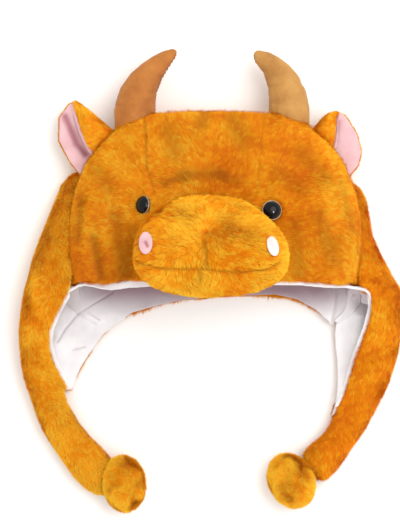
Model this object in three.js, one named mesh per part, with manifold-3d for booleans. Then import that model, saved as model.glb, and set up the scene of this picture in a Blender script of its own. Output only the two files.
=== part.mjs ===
// A plush bull hat with two long earflaps, lying on its back with its face up and the flaps swept inwards.
// Millimetres. X runs across the face, Y from the brow rim up to the horns, Z up from the surface it lies on.
// The origin is on that surface, in the flat back of the crown just above the brow rim. Left is the -X side.
import * as THREE from "three";
import { mergeVertices } from "three/addons/utils/BufferGeometryUtils.js";
import Module from "manifold-3d";

// Cloth
const plushWall = 6; // backing and pile together
const liningWall = 1.5;
const sewnGap = 0.3; // clearance between pieces that are sewn together
const liningPeek = 3; // how far the lining shows past the plush at the brow and the flaps' front edges
const backPeek = 3; // how far the plush shows past the lining at the nape
const napeMiddle = 277; // the nape's middle and reach in degrees round the opening, as in the rim's table
const napeReach = 38;

// Crown
const crownWidth = 284;
const crownRise = 168; // from the brow rim to the top seam
const crownDepth = 98; // highest point of the forehead above the surface
const rimDepth = 84; // height of the brow rim
const rimBelowOrigin = 7.5;
const crownOffset = 4.7; // the crown's middle lies to the right of the origin
const sideSeamHeight = 20;
const topSeamHeight = 42;
const topSeamWidth = 48;
const seamGroove = 0.4; // width of the gap between two crown panels

// Muzzle
const muzzleWidth = 141;
const muzzleLength = 98; // from the seam on the forehead down to the lip
const muzzleStandOff = 54; // how far the nose stands out of the forehead
const mouthRise = 27; // from the lip's lowest point up to the mouth seam
const mouthCornerLift = 6;
const nostrilWidth = 12.5;
const nostrilLength = 21;
const patchWall = 1.4;

// Eyes
const eyeRadius = 9.2;
const eyeDome = 6.2; // height of the dome above its rim
const eyeSink = 3; // depth of the rim in the pile

// Horns
const hornBaseRadius = 20.5;
const hornReach = 65; // from the crown's top seam to the tip
const hornFlatness = 0.86; // thickness over width
const hornHeight = 30; // height of its middle above the surface

// Ears
const earFold = 21; // height of the folded ear at its base
const earLift = 20; // height of the ear's back above the surface
const earPlush = 3.2;
const earLining = 1.4;
const earPeek = 3.2; // how far the pink cloth shows past the folded edge

// Earflaps
const flapDrop = 195; // from the brow rim to the end of the flap's tail
const flapHeight = 50; // height of the fold at the rim
const flapBackPeek = 0.5; // how far the plush shows past the lining along the flaps' rear edges
const tailHeight = 26; // thickness of the closed tail
const frontSag = 0.4; // how far the front edge sinks below the fold as the flap gets lower, 0 for not at all

// Pompoms
const pompomLong = 57;
const pompomWide = 45;
const pompomHigh = 43;

const halfCrown = crownWidth / 2;
const topSeamY = crownRise - rimBelowOrigin;

// The height of the brow and nape edge round the crown, as a share of the crown's rise below the rim line.
// turn is the angle round the opening: 0 the right side, 90 the brow, 180 the left side, 270 the nape.
const rimTable = [
  { turn: 0, below: 0.0 },
  { turn: 21, below: -0.036 },
  { turn: 37, below: -0.028 },
  { turn: 60, below: -0.046 },
  { turn: 90, below: -0.05 },
  { turn: 118, below: -0.056 },
  { turn: 137, below: -0.03 },
  { turn: 159, below: -0.045 },
  { turn: 180, below: 0.0 },
  { turn: 203, below: 0.115 },
  { turn: 228, below: 0.187 },
  { turn: 238, below: 0.14 },
  { turn: 250, below: 0.108 },
  { turn: 265, below: 0.06 },
  { turn: 296, below: 0.045 },
  { turn: 309, below: 0.09 },
  { turn: 322, below: 0.19 },
  { turn: 342, below: 0.11 },
  { turn: 360, below: 0.0 },
];

// Dents and swellings of the crown's front. across is a share of half the crown's width, up of its rise,
// wide and long are the reach of each in the same shares, and depth is a share of the crown's depth.
const dentTable = [
  { across: 0.0, up: 0.63, wide: 0.2, long: 0.035, depth: 0.045 },
  { across: -0.24, up: 0.86, wide: 0.07, long: 0.06, depth: 0.035 },
  { across: 0.1, up: 0.87, wide: 0.09, long: 0.1, depth: 0.045 },
  { across: -0.73, up: 0.2, wide: 0.05, long: 0.16, depth: 0.06 },
  { across: -0.84, up: 0.12, wide: 0.05, long: 0.1, depth: -0.03 },
  { across: -0.54, up: 0.2, wide: 0.06, long: 0.3, depth: 0.03 },
  { across: 0.53, up: 0.26, wide: 0.07, long: 0.14, depth: 0.045 },
  { across: 0.6, up: 0.72, wide: 0.16, long: 0.08, depth: 0.04 },
  { across: 0.86, up: 0.38, wide: 0.06, long: 0.16, depth: 0.035 },
  { across: -0.62, up: 0.66, wide: 0.14, long: 0.1, depth: 0.025 },
];

// Muzzle rings, from inside the crown to the nose. out is a share of the stand-off from the forehead,
// left, right, top and foot are the ring's reach from the muzzle's middle in shares of its width and length.
const muzzleTable = [
  { out: -0.4, left: 0.41, right: 0.36, top: 0.49, foot: 0.36 },
  { out: -0.05, left: 0.42, right: 0.37, top: 0.46, foot: 0.4 },
  { out: 0.12, left: 0.455, right: 0.405, top: 0.42, foot: 0.45 },
  { out: 0.3, left: 0.49, right: 0.465, top: 0.36, foot: 0.485 },
  { out: 0.5, left: 0.5, right: 0.5, top: 0.28, foot: 0.5 },
  { out: 0.68, left: 0.485, right: 0.49, top: 0.2, foot: 0.485 },
  { out: 0.83, left: 0.43, right: 0.435, top: 0.115, foot: 0.43 },
  { out: 0.93, left: 0.345, right: 0.35, top: 0.04, foot: 0.35 },
  { out: 0.985, left: 0.235, right: 0.235, top: -0.03, foot: 0.25 },
  { out: 1.0, left: 0.11, right: 0.11, top: -0.08, foot: 0.16 },
];
const muzzleMiddle = { across: -0.03, up: 0.26 }; // shares of half the crown's width and of its rise
const nostrilTable = [
  { side: "left", across: -0.418, up: -0.002 },
  { side: "right", across: 0.395, up: -0.03 },
]; // shares of the muzzle's width and length

// Eye places: the distance from the muzzle's middle to the eye's edge nearest it, in shares of the muzzle's
// width and length.
const eyeTable = [
  { side: "left", across: -0.398, up: 0.36 },
  { side: "right", across: 0.333, up: 0.308 },
];

// The seams beside the forehead panel: across in shares of half the crown's width.
const foreheadSeam = { leftTop: -0.465, leftFoot: -0.385, rightTop: 0.32, rightFoot: 0.3 };

// Horn centrelines: across in shares of half the crown's width, up in shares of the horn's reach above
// the top seam, and girth in shares of the base radius.
const hornTable = {
  left: [
    { across: -0.5, up: -0.5, girth: 1.0 },
    { across: -0.525, up: -0.17, girth: 1.02 },
    { across: -0.528, up: 0.1, girth: 0.97 },
    { across: -0.492, up: 0.34, girth: 0.85 },
    { across: -0.437, up: 0.52, girth: 0.69 },
    { across: -0.377, up: 0.67, girth: 0.53 },
    { across: -0.32, up: 0.78, girth: 0.4 },
    { across: -0.285, up: 0.83, girth: 0.29 },
  ],
  right: [
    { across: 0.46, up: -0.5, girth: 0.98 },
    { across: 0.49, up: -0.17, girth: 1.0 },
    { across: 0.49, up: 0.1, girth: 0.95 },
    { across: 0.47, up: 0.33, girth: 0.86 },
    { across: 0.432, up: 0.51, girth: 0.72 },
    { across: 0.382, up: 0.655, girth: 0.56 },
    { across: 0.33, up: 0.75, girth: 0.45 },
    { across: 0.298, up: 0.785, girth: 0.36 },
  ],
};

// Folded ears, base to tip. foldX, frontX and rearX are shares of half the crown's width; foldUp, frontUp
// and rearUp are shares of the crown's rise above the rim; high is a share of the fold's height at the base.
const earTable = {
  left: [
    { foldX: -0.61, foldUp: 0.85, frontX: -0.755, frontUp: 0.726, rearX: -0.887, rearUp: 0.626, high: 1 },
    { foldX: -0.702, foldUp: 0.916, frontX: -0.821, frontUp: 0.782, rearX: -0.954, rearUp: 0.698, high: 1 },
    { foldX: -0.775, foldUp: 0.969, frontX: -0.868, frontUp: 0.849, rearX: -1.023, rearUp: 0.788, high: 0.9 },
    { foldX: -0.841, foldUp: 1.017, frontX: -0.904, frontUp: 0.933, rearX: -1.053, rearUp: 0.888, high: 0.75 },
    { foldX: -0.894, foldUp: 1.05, frontX: -0.93, frontUp: 1.006, rearX: -1.033, rearUp: 0.986, high: 0.58 },
    { foldX: -0.924, foldUp: 1.064, frontX: -0.944, frontUp: 1.039, rearX: -0.98, rearUp: 1.039, high: 0.45 },
  ],
  right: [
    { foldX: 0.622, foldUp: 0.878, frontX: 0.781, frontUp: 0.8, rearX: 0.9, rearUp: 0.638, high: 1 },
    { foldX: 0.662, foldUp: 0.917, frontX: 0.794, frontUp: 0.845, rearX: 0.947, rearUp: 0.682, high: 1 },
    { foldX: 0.695, foldUp: 0.951, frontX: 0.801, frontUp: 0.89, rearX: 0.98, rearUp: 0.738, high: 0.9 },
    { foldX: 0.728, foldUp: 0.979, frontX: 0.804, frontUp: 0.934, rearX: 0.973, rearUp: 0.811, high: 0.75 },
    { foldX: 0.761, foldUp: 0.996, frontX: 0.808, frontUp: 0.968, rearX: 0.94, rearUp: 0.895, high: 0.58 },
    { foldX: 0.8, foldUp: 1.003, frontX: 0.827, frontUp: 0.996, rearX: 0.874, rearUp: 0.979, high: 0.45 },
  ],
};

// The flap's root beside the crown, from the shoulder down to the rim: outX and inX in shares of half the
// crown's width, up in shares of the rise above the rim, high in shares of the fold's height.
const flapRootTable = {
  left: [
    { outX: -0.9, inX: -0.8, up: 0.68, high: 0.34 },
    { outX: -0.97, inX: -0.8, up: 0.652, high: 0.35 },
    { outX: -1.02, inX: -0.8, up: 0.612, high: 0.4 },
    { outX: -1.045, inX: -0.8, up: 0.565, high: 0.56 },
    { outX: -1.08, inX: -0.8, up: 0.48, high: 0.7 },
    { outX: -1.14, inX: -0.8, up: 0.36, high: 0.84 },
    { outX: -1.19, inX: -0.8, up: 0.25, high: 0.91 },
    { outX: -1.235, inX: -0.8, up: 0.13, high: 0.97 },
    { outX: -1.272, inX: -1.0, up: -0.03, high: 1 },
  ],
  right: [
    { outX: 0.9, inX: 0.8, up: 0.625, high: 0.34 },
    { outX: 0.965, inX: 0.8, up: 0.585, high: 0.46 },
    { outX: 1.0, inX: 0.8, up: 0.54, high: 0.56 },
    { outX: 1.025, inX: 0.8, up: 0.48, high: 0.66 },
    { outX: 1.035, inX: 0.8, up: 0.4, high: 0.74 },
    { outX: 1.05, inX: 0.8, up: 0.32, high: 0.81 },
    { outX: 1.085, inX: 0.8, up: 0.24, high: 0.87 },
    { outX: 1.135, inX: 0.8, up: 0.16, high: 0.92 },
    { outX: 1.19, inX: 0.8, up: 0.07, high: 0.96 },
    { outX: 1.24, inX: 1.0, up: -0.03, high: 1 },
  ],
};

// The open part of each flap, from the rim down: the fold's line, the front edge and the rear edge, with X in
// shares of half the crown's width and Down in shares of the flap's drop; high is the fold's height in shares
// of its height at the rim.
const flapTable = {
  left: [
    { foldX: -1.238, foldDown: -0.08, frontX: -0.93, frontDown: -0.04, rearX: -0.87, rearDown: 0.05, high: 1 },
    { foldX: -1.275, foldDown: 0.0, frontX: -0.96, frontDown: 0.01, rearX: -0.675, rearDown: 0.155, high: 1 },
    { foldX: -1.298, foldDown: 0.097, frontX: -1.033, frontDown: 0.097, rearX: -0.735, rearDown: 0.208, high: 0.92 },
    { foldX: -1.311, foldDown: 0.193, frontX: -1.093, frontDown: 0.198, rearX: -0.801, rearDown: 0.275, high: 0.82 },
    { foldX: -1.308, foldDown: 0.29, frontX: -1.096, frontDown: 0.285, rearX: -0.861, rearDown: 0.338, high: 0.73 },
    { foldX: -1.292, foldDown: 0.396, frontX: -1.046, frontDown: 0.386, rearX: -0.914, rearDown: 0.406, high: 0.64 },
    { foldX: -1.252, foldDown: 0.502, frontX: -0.98, frontDown: 0.483, rearX: -0.954, rearDown: 0.487, high: 0.56 },
  ],
  right: [
    { foldX: 1.172, foldDown: -0.08, frontX: 0.95, frontDown: -0.03, rearX: 0.87, rearDown: 0.05, high: 1 },
    { foldX: 1.25, foldDown: 0.01, frontX: 1.033, frontDown: 0.019, rearX: 0.808, rearDown: 0.164, high: 1 },
    { foldX: 1.25, foldDown: 0.106, frontX: 1.026, frontDown: 0.111, rearX: 0.801, rearDown: 0.232, high: 0.92 },
    { foldX: 1.244, foldDown: 0.203, frontX: 0.987, frontDown: 0.213, rearX: 0.81, rearDown: 0.309, high: 0.83 },
    { foldX: 1.234, foldDown: 0.29, frontX: 0.94, frontDown: 0.3, rearX: 0.82, rearDown: 0.396, high: 0.74 },
    { foldX: 1.2, foldDown: 0.377, frontX: 0.9, frontDown: 0.401, rearX: 0.815, rearDown: 0.493, high: 0.66 },
    { foldX: 1.167, foldDown: 0.454, frontX: 0.868, frontDown: 0.488, rearX: 0.8, rearDown: 0.57, high: 0.58 },
    { foldX: 1.115, foldDown: 0.53, frontX: 0.815, frontDown: 0.57, rearX: 0.777, rearDown: 0.618, high: 0.54 },
  ],
};

// The closed tail of each flap, down to its end: outer and inner sides, and high in shares of its thickness.
const tailTable = {
  left: [
    { outX: -1.262, outDown: 0.47, inX: -1.02, inDown: 0.45, high: 1 },
    { outX: -1.2, outDown: 0.61, inX: -0.968, inDown: 0.575, high: 1 },
    { outX: -1.142, outDown: 0.705, inX: -0.888, inDown: 0.668, high: 0.97 },
    { outX: -1.065, outDown: 0.79, inX: -0.8, inDown: 0.74, high: 0.96 },
    { outX: -0.988, outDown: 0.873, inX: -0.72, inDown: 0.793, high: 0.96 },
    { outX: -0.9, outDown: 0.955, inX: -0.67, inDown: 0.85, high: 0.92 },
    { outX: -0.81, outDown: 0.998, inX: -0.665, inDown: 0.918, high: 0.8 },
    { outX: -0.74, outDown: 1.0, inX: -0.689, inDown: 0.956, high: 0.55 },
  ],
  right: [
    { outX: 1.14, outDown: 0.5, inX: 0.835, inDown: 0.54, high: 1 },
    { outX: 1.055, outDown: 0.622, inX: 0.782, inDown: 0.638, high: 1 },
    { outX: 0.978, outDown: 0.715, inX: 0.722, inDown: 0.705, high: 0.97 },
    { outX: 0.922, outDown: 0.77, inX: 0.668, inDown: 0.739, high: 0.96 },
    { outX: 0.862, outDown: 0.84, inX: 0.598, inDown: 0.783, high: 0.95 },
    { outX: 0.79, outDown: 0.905, inX: 0.585, inDown: 0.817, high: 0.9 },
    { outX: 0.72, outDown: 0.937, inX: 0.617, inDown: 0.873, high: 0.6 },
  ],
};

// Pompoms: place in the same shares as the tails, plump in shares of the pompom's width, and the turn of the
// long axis in the plan, in degrees.
const pompomTable = [
  { side: "left", across: -0.605, down: 0.942, plump: 0.95, turn: 97 },
  { side: "right", across: 0.51, down: 0.927, plump: 1, turn: 116 },
];

// Fullness of the rounded sections: 2 is an ellipse and a larger number is squarer.
const crownFullness = 2.35;
const outlineFullness = 2.7;
const closingFullness = 2.5;
const softFullness = 2.4;
const pinchAtRim = 0.035; // how much narrower the crown is at the rim than at its widest
const pinchReach = 0.35;
const flatOvershoot = 5; // how far the unflattened back would sag below the surface

// Sides and rings of the faceted forms
const crownColumnCount = 32;
const crownRowCount = 9;
const muzzleSideCount = 24;
const muzzleRingCount = 12;
const hornSideCount = 12;
const hornRingCount = 9;
const earRowCount = 5;
const flapRowCount = 9;
const rootRingCount = 8;
const tailRingCount = 9;
const eyeSideCount = 16;
const eyeRingCount = 4;
const patchSideCount = 16;

const wasm = await Module();
wasm.setup();

const radians = (degrees) => (degrees * Math.PI) / 180;
const mix = (a, b, t) => a + (b - a) * t;
const ease = (t) => t * t * (3 - 2 * t);
const signedPower = (value, power) => Math.sign(value) * Math.abs(value) ** power;
const roundOff = (share, fullness) => (1 - Math.min(1, share) ** fullness) ** (1 / fullness);
const across = (share) => crownOffset + share * halfCrown;
const upCrown = (share) => share * crownRise - rimBelowOrigin;
const downFlap = (share) => -share * flapDrop - rimBelowOrigin;

// Reads one column of a table between its rows, smoothly.
function column(table, key, name, at) {
  const next = Math.max(1, table.findIndex((row) => row[key] >= at));
  const [a, b] = [table[next - 1], table[next]];
  return mix(a[name], b[name], ease((at - a[key]) / (b[key] - a[key])));
}

// A table with more rows, each column following a smooth curve through the given ones.
function refined(table, count) {
  const names = Object.keys(table[0]);
  const curves = names.map(
    (name) =>
      new THREE.CatmullRomCurve3(
        table.map((row, i) => new THREE.Vector3(i, row[name], 0)),
        false,
        "catmullrom",
      ),
  );
  return Array.from({ length: count }, (_, i) => {
    const values = curves.map((curve) => curve.getPoint(i / (count - 1)).y);
    return Object.fromEntries(names.map((name, k) => [name, values[k]]));
  });
}

// A closed solid from a list of triangles, turned so that its faces point out.
function solidOf(points, faces) {
  const geometry = new THREE.BufferGeometry();
  geometry.setAttribute("position", new THREE.Float32BufferAttribute(points.flatMap((p) => p.toArray()), 3));
  geometry.setIndex(faces.flat());
  return manifoldOf(geometry);
}

function manifoldOf(geometry) {
  const plain = geometry.clone();
  plain.deleteAttribute("normal");
  plain.deleteAttribute("uv");
  const merged = mergeVertices(plain, 1e-3);
  const at = merged.index.array;
  const place = merged.attributes.position;
  const corner = (k) => new THREE.Vector3().fromBufferAttribute(place, at[k]);
  const kept = [];
  let volume = 0;
  for (let i = 0; i < at.length; i += 3) {
    if (at[i] === at[i + 1] || at[i + 1] === at[i + 2] || at[i] === at[i + 2]) continue;
    kept.push([at[i], at[i + 1], at[i + 2]]);
    volume += corner(i).dot(corner(i + 1).cross(corner(i + 2)));
  }
  const outward = volume < 0 ? kept.map(([a, b, c]) => [a, c, b]) : kept;
  return new wasm.Manifold(
    new wasm.Mesh({
      numProp: 3,
      vertProperties: new Float32Array(place.array),
      triVerts: new Uint32Array(outward.flat()),
    }),
  );
}

// A solid through closed rings of points, with its two ends closed by fans.
function loft(rings) {
  const count = rings[0].length;
  const points = rings.flat();
  const faces = [];
  for (let i = 0; i + 1 < rings.length; i += 1) {
    for (let j = 0; j < count; j += 1) {
      const k = (j + 1) % count;
      const [a, b] = [i * count + j, i * count + k];
      faces.push([a, b, b + count], [a, b + count, a + count]);
    }
  }
  for (const [first, turned] of [[0, true], [(rings.length - 1) * count, false]]) {
    const middle = new THREE.Vector3();
    for (let j = 0; j < count; j += 1) middle.addScaledVector(points[first + j], 1 / count);
    const hub = points.push(middle) - 1;
    for (let j = 0; j < count; j += 1) {
      const [a, b] = [first + j, first + ((j + 1) % count)];
      faces.push(turned ? [hub, b, a] : [hub, a, b]);
    }
  }
  return solidOf(points, faces);
}

// A wall between two grids of points. With round, each row closes on itself and the last row is a seam.
function wall(outer, inner, round = false) {
  const [rows, columns] = [outer.length, outer[0].length];
  const points = [...outer.flat(), ...inner.flat()];
  const inside = rows * columns;
  const at = (i, j) => i * columns + (j % columns);
  const faces = [];
  const quad = (a, b, c, d) => faces.push([a, b, c], [a, c, d]);
  const steps = round ? columns : columns - 1;
  for (let i = 0; i + 1 < rows; i += 1) {
    for (let j = 0; j < steps; j += 1) {
      const corners = [at(i, j), at(i, j + 1), at(i + 1, j + 1), at(i + 1, j)];
      quad(...corners);
      quad(...corners.map((k) => k + inside).reverse());
    }
  }
  for (let j = 0; j < steps; j += 1) {
    quad(at(0, j + 1), at(0, j), at(0, j) + inside, at(0, j + 1) + inside);
    const last = rows - 1;
    if (!round) quad(at(last, j), at(last, j + 1), at(last, j + 1) + inside, at(last, j) + inside);
  }
  for (let i = 0; !round && i + 1 < rows; i += 1) {
    quad(at(i, 0), at(i + 1, 0), at(i + 1, 0) + inside, at(i, 0) + inside);
    const end = columns - 1;
    quad(at(i + 1, end), at(i, end), at(i, end) + inside, at(i + 1, end) + inside);
  }
  return solidOf(points, faces);
}

// A prism over an outline in the plan, from one height to another.
function prism(outline, from, to) {
  const shape = new THREE.Shape(outline.map(([x, y]) => new THREE.Vector2(x, y)));
  const geometry = new THREE.ExtrudeGeometry(shape, { depth: to - from, bevelEnabled: false });
  return manifoldOf(geometry.translate(0, 0, from));
}

// How deep the dents are at a place on the crown's front, positive into the crown.
function dentDepth(x, y) {
  return dentTable.reduce((sum, dent) => {
    const a = (x - across(dent.across)) / (dent.wide * halfCrown);
    const b = (y - upCrown(dent.up)) / (dent.long * crownRise);
    return sum + dent.depth * crownDepth * Math.exp(-a * a - b * b);
  }, 0);
}

function crownHalfWidth(share, inset) {
  const full = mix(topSeamWidth / 2, halfCrown, roundOff(share, outlineFullness));
  const pinch = Math.max(0, 1 - share / pinchReach) ** 2;
  return full * (1 - pinchAtRim * pinch) - inset;
}

// A point of the crown's surface, moved in by inset. turn goes round the opening and share from rim to top.
function crownPoint(turn, share, inset) {
  const below = column(rimTable, "turn", "below", ((turn % 360) + 360) % 360);
  const rimY = upCrown(-below);
  const y = mix(rimY, topSeamY - inset, share);
  const level = Math.min(1, Math.max(0, (y - upCrown(0)) / (topSeamY - inset - upCrown(0))));
  const [c, s] = [Math.cos(radians(turn)), Math.sin(radians(turn))];
  const x = crownOffset + crownHalfWidth(level, inset) * signedPower(c, 2 / crownFullness);
  const front = mix(rimDepth, crownDepth, Math.sin(Math.PI * Math.min(1, level * 1.1)));
  const reach = s > 0 ? front - inset - sideSeamHeight : sideSeamHeight - inset + flatOvershoot;
  const open = sideSeamHeight + reach * signedPower(s, 2 / crownFullness);
  const closing = roundOff(level, closingFullness);
  const z = mix(topSeamHeight, open, closing) - (s > 0 ? dentDepth(x, y) * s * closing : 0);
  return new THREE.Vector3(x, y, Math.max(inset, z));
}

// The turns and shares of the crown's grid, closer together where it bends more.
function crownGrid(inset, rimShift = () => 0) {
  const turnOf = (j) => (360 * j) / crownColumnCount;
  const grid = Array.from({ length: crownRowCount }, (_, i) => {
    const share = Math.sin((Math.PI / 2) * (i / (crownRowCount - 1)));
    return Array.from({ length: crownColumnCount }, (_, j) => crownPoint(turnOf(j), share, inset));
  });
  grid[0].forEach((point, j) => {
    const next = grid[1][j];
    point.lerp(next, rimShift(turnOf(j)) / (next.y - point.y));
  });
  return grid;
}

// A solid moved a little to each side, so that cutting with all of them leaves a clearance.
function nudged(solid) {
  const step = sewnGap / 2;
  const ways = [[0, 0, 1], [0, 0, -1], [1, 0, 0], [-1, 0, 0]];
  return ways.map((way) => solid.translate(way.map((part) => part * step)));
}

// A lining trimmed so that it stays clear of the plush round it.
function clearOf(lining, plush) {
  return largest(nudged(plush).reduce((rest, cut) => rest.subtract(cut), lining));
}

const crownShell = wall(crownGrid(0), crownGrid(plushWall), true);

// The crown filled solid and grown by the clearance, to cut whatever is sewn onto it.
const crownFilled = [...nudged(crownShell), crownShell.translate([0, -sewnGap, 0])].reduce(
  (sum, shell) => sum.add(shell),
  loft(crownGrid(-sewnGap, () => -sewnGap)),
);

// The space inside the crown just above its opening, where no flap may reach.
function crownMouth() {
  const half = crownColumnCount / 2;
  const outline = Array.from({ length: half + 1 }, (_, i) => {
    const point = crownPoint(180 + (i / half) * 180, 0, -sewnGap);
    return [point.x, point.y];
  });
  outline.push([across(0.9), upCrown(0.2)], [across(-0.9), upCrown(0.2)]);
  return prism(outline, -plushWall, crownDepth);
}

// The height of the crown's front at a place in the plan.
function crownFrontHeight(x, y) {
  const level = Math.min(1, Math.max(0, (y - upCrown(0)) / crownRise));
  const aside = Math.min(1, Math.abs(x - crownOffset) / crownHalfWidth(level, 0));
  const s = roundOff(aside, crownFullness) ** (crownFullness / 2);
  const turn = (Math.atan2(s, Math.sign(x - crownOffset) * Math.sqrt(1 - s * s)) * 180) / Math.PI;
  const rimY = crownPoint(turn, 0, 0).y;
  return crownPoint(turn, (y - rimY) / (topSeamY - rimY), 0).z;
}

// An eye's place on the crown's front with the direction that stands out of it.
function seatOnCrown(row) {
  const x = across(muzzleMiddle.across) + row.across * muzzleWidth + Math.sign(row.across) * eyeRadius;
  const y = upCrown(muzzleMiddle.up) + row.up * muzzleLength;
  const step = eyeRadius / 2;
  const slopeX = (crownFrontHeight(x + step, y) - crownFrontHeight(x - step, y)) / (2 * step);
  const slopeY = (crownFrontHeight(x, y + step) - crownFrontHeight(x, y - step)) / (2 * step);
  const place = new THREE.Vector3(x, y, crownFrontHeight(x, y));
  return { place, normal: new THREE.Vector3(-slopeX, -slopeY, 1).normalize() };
}

// Stands a solid of revolution on its seat.
function seated(profile, seat) {
  const geometry = new THREE.LatheGeometry(profile, eyeSideCount);
  const turn = new THREE.Quaternion().setFromUnitVectors(new THREE.Vector3(0, 1, 0), seat.normal);
  const matrix = new THREE.Matrix4().compose(seat.place, turn, new THREE.Vector3(1, 1, 1));
  return manifoldOf(geometry.applyMatrix4(matrix));
}

function eye(row) {
  const profile = [new THREE.Vector2(0, -eyeSink), new THREE.Vector2(eyeRadius, -eyeSink)];
  const rimHeight = 0.8;
  profile.push(new THREE.Vector2(eyeRadius, rimHeight));
  const lens = eyeRadius - 1.1;
  for (let i = 0; i < eyeRingCount; i += 1) {
    const angle = (Math.PI / 2) * (i / eyeRingCount);
    profile.push(new THREE.Vector2(lens * Math.cos(angle), rimHeight + eyeDome * Math.sin(angle)));
  }
  profile.push(new THREE.Vector2(0, rimHeight + eyeDome));
  return seated(profile, seatOnCrown(row));
}

function eyePocket(row) {
  const radius = eyeRadius + sewnGap;
  const depth = eyeSink + sewnGap;
  const profile = [
    new THREE.Vector2(0, -depth),
    new THREE.Vector2(radius, -depth),
    new THREE.Vector2(radius, eyeDome),
    new THREE.Vector2(0, eyeDome),
  ];
  return seated(profile, seatOnCrown(row));
}

// The four panels that the crown's plush is sewn from.
function crownPanels() {
  let shell = crownShell;
  eyeTable.forEach((row) => {
    shell = shell.subtract(eyePocket(row));
  });
  const far = crownWidth * 2;
  const half = seamGroove / 2;
  // Everything above the line from the side seam to the top seam is the front.
  const below = (lift) => {
    const outline = [
      [-far, -far],
      [far, -far],
      [far, topSeamHeight + lift],
      [topSeamY, topSeamHeight + lift],
      [upCrown(0.6), sideSeamHeight + lift],
      [-far, sideSeamHeight + lift],
    ];
    return prism(outline, -far, far).transform([0, 1, 0, 0, 0, 0, 1, 0, 1, 0, 0, 0, 0, 0, 0, 1]);
  };
  const forehead = (grow) =>
    prism(
      [
        [across(foreheadSeam.leftFoot) - grow, upCrown(-0.5)],
        [across(foreheadSeam.rightFoot) + grow, upCrown(-0.5)],
        [across(foreheadSeam.rightFoot) + grow, upCrown(0.5)],
        [across(foreheadSeam.rightTop) + grow, upCrown(1.1)],
        [across(foreheadSeam.leftTop) - grow, upCrown(1.1)],
        [across(foreheadSeam.leftFoot) - grow, upCrown(0.5)],
      ],
      -far,
      far,
    );
  const beside = (from, to) => prism([[from, -far], [to, -far], [to, far], [from, far]], -far, far);
  const front = shell.subtract(below(half));
  const sides = front.subtract(forehead(half));
  return {
    crown_forehead: front.intersect(forehead(-half)),
    crown_left: sides.intersect(beside(-far, crownOffset)),
    crown_right: sides.intersect(beside(crownOffset, far)),
    crown_back: shell.intersect(below(-half)),
  };
}

// The white lining, which shows a little past the plush all round but stops short of the nape's edge.
function crownLining() {
  const shift = (turn) => {
    const awayFromNape = (Math.abs(turn - napeMiddle) - napeReach) / 12;
    return mix(backPeek, -liningPeek, ease(Math.min(1, Math.max(0, awayFromNape))));
  };
  const outside = plushWall + sewnGap;
  const inside = outside + liningWall;
  return clearOf(wall(crownGrid(outside, shift), crownGrid(inside, shift), true), crownShell);
}

const crownLiningSolid = crownLining();

// The stuffed muzzle, grown by a clearance, before it is cut to the crown.
function muzzleBody(grown = 0) {
  const forehead = crownFrontHeight(across(muzzleMiddle.across), upCrown(muzzleMiddle.up));
  const [x0, y0] = [across(muzzleMiddle.across), upCrown(muzzleMiddle.up)];
  const rings = refined(muzzleTable, muzzleRingCount).map((row) =>
    Array.from({ length: muzzleSideCount }, (_, j) => {
      const turn = (2 * Math.PI * j) / muzzleSideCount;
      const [c, s] = [Math.cos(turn), Math.sin(turn)];
      const reachX = (c > 0 ? row.right : row.left) * muzzleWidth + grown;
      const middle = y0 + ((row.top - row.foot) / 2) * muzzleLength;
      const reachY = ((row.top + row.foot) / 2) * muzzleLength + grown;
      const x = x0 + reachX * signedPower(c, 2 / softFullness);
      const y = middle + reachY * signedPower(s, 2 / softFullness);
      return new THREE.Vector3(x, y, forehead + row.out * muzzleStandOff + grown * Math.max(0, row.out));
    }),
  );
  return loft(rings);
}

// Everything below the mouth seam, in the plan.
function underMouth(shift) {
  const [x0, y0] = [across(muzzleMiddle.across), upCrown(muzzleMiddle.up) - muzzleLength / 2 + mouthRise];
  const outline = [];
  const steps = 12;
  for (let i = 0; i <= steps; i += 1) {
    const share = mix(1.2, -1.2, i / steps);
    const lift = mouthCornerLift * Math.min(1, Math.abs(share)) ** 3;
    outline.push([x0 + (share * muzzleWidth) / 2, y0 + lift + shift]);
  }
  outline.push([x0 - 0.6 * muzzleWidth, y0 - muzzleLength], [x0 + 0.6 * muzzleWidth, y0 - muzzleLength]);
  return prism(outline, 0, crownDepth + 2 * muzzleStandOff);
}

function muzzleParts() {
  const body = muzzleBody().subtract(crownFilled);
  return {
    muzzle: body.subtract(underMouth(sewnGap)),
    muzzle_lip: body.intersect(underMouth(0)),
  };
}

// A thin oval patch that follows the muzzle.
function nostril(row) {
  const x0 = across(muzzleMiddle.across) + row.across * muzzleWidth;
  const y0 = upCrown(muzzleMiddle.up) + row.up * muzzleLength;
  const outline = Array.from({ length: patchSideCount }, (_, i) => {
    const angle = (2 * Math.PI * i) / patchSideCount;
    return [x0 + (nostrilWidth / 2) * Math.cos(angle), y0 + (nostrilLength / 2) * Math.sin(angle)];
  });
  const sheet = muzzleBody(sewnGap + patchWall).subtract(muzzleBody(sewnGap));
  const above = crownDepth + muzzleStandOff * 0.3;
  return sheet.intersect(prism(outline, above, crownDepth + 2 * muzzleStandOff));
}

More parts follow.
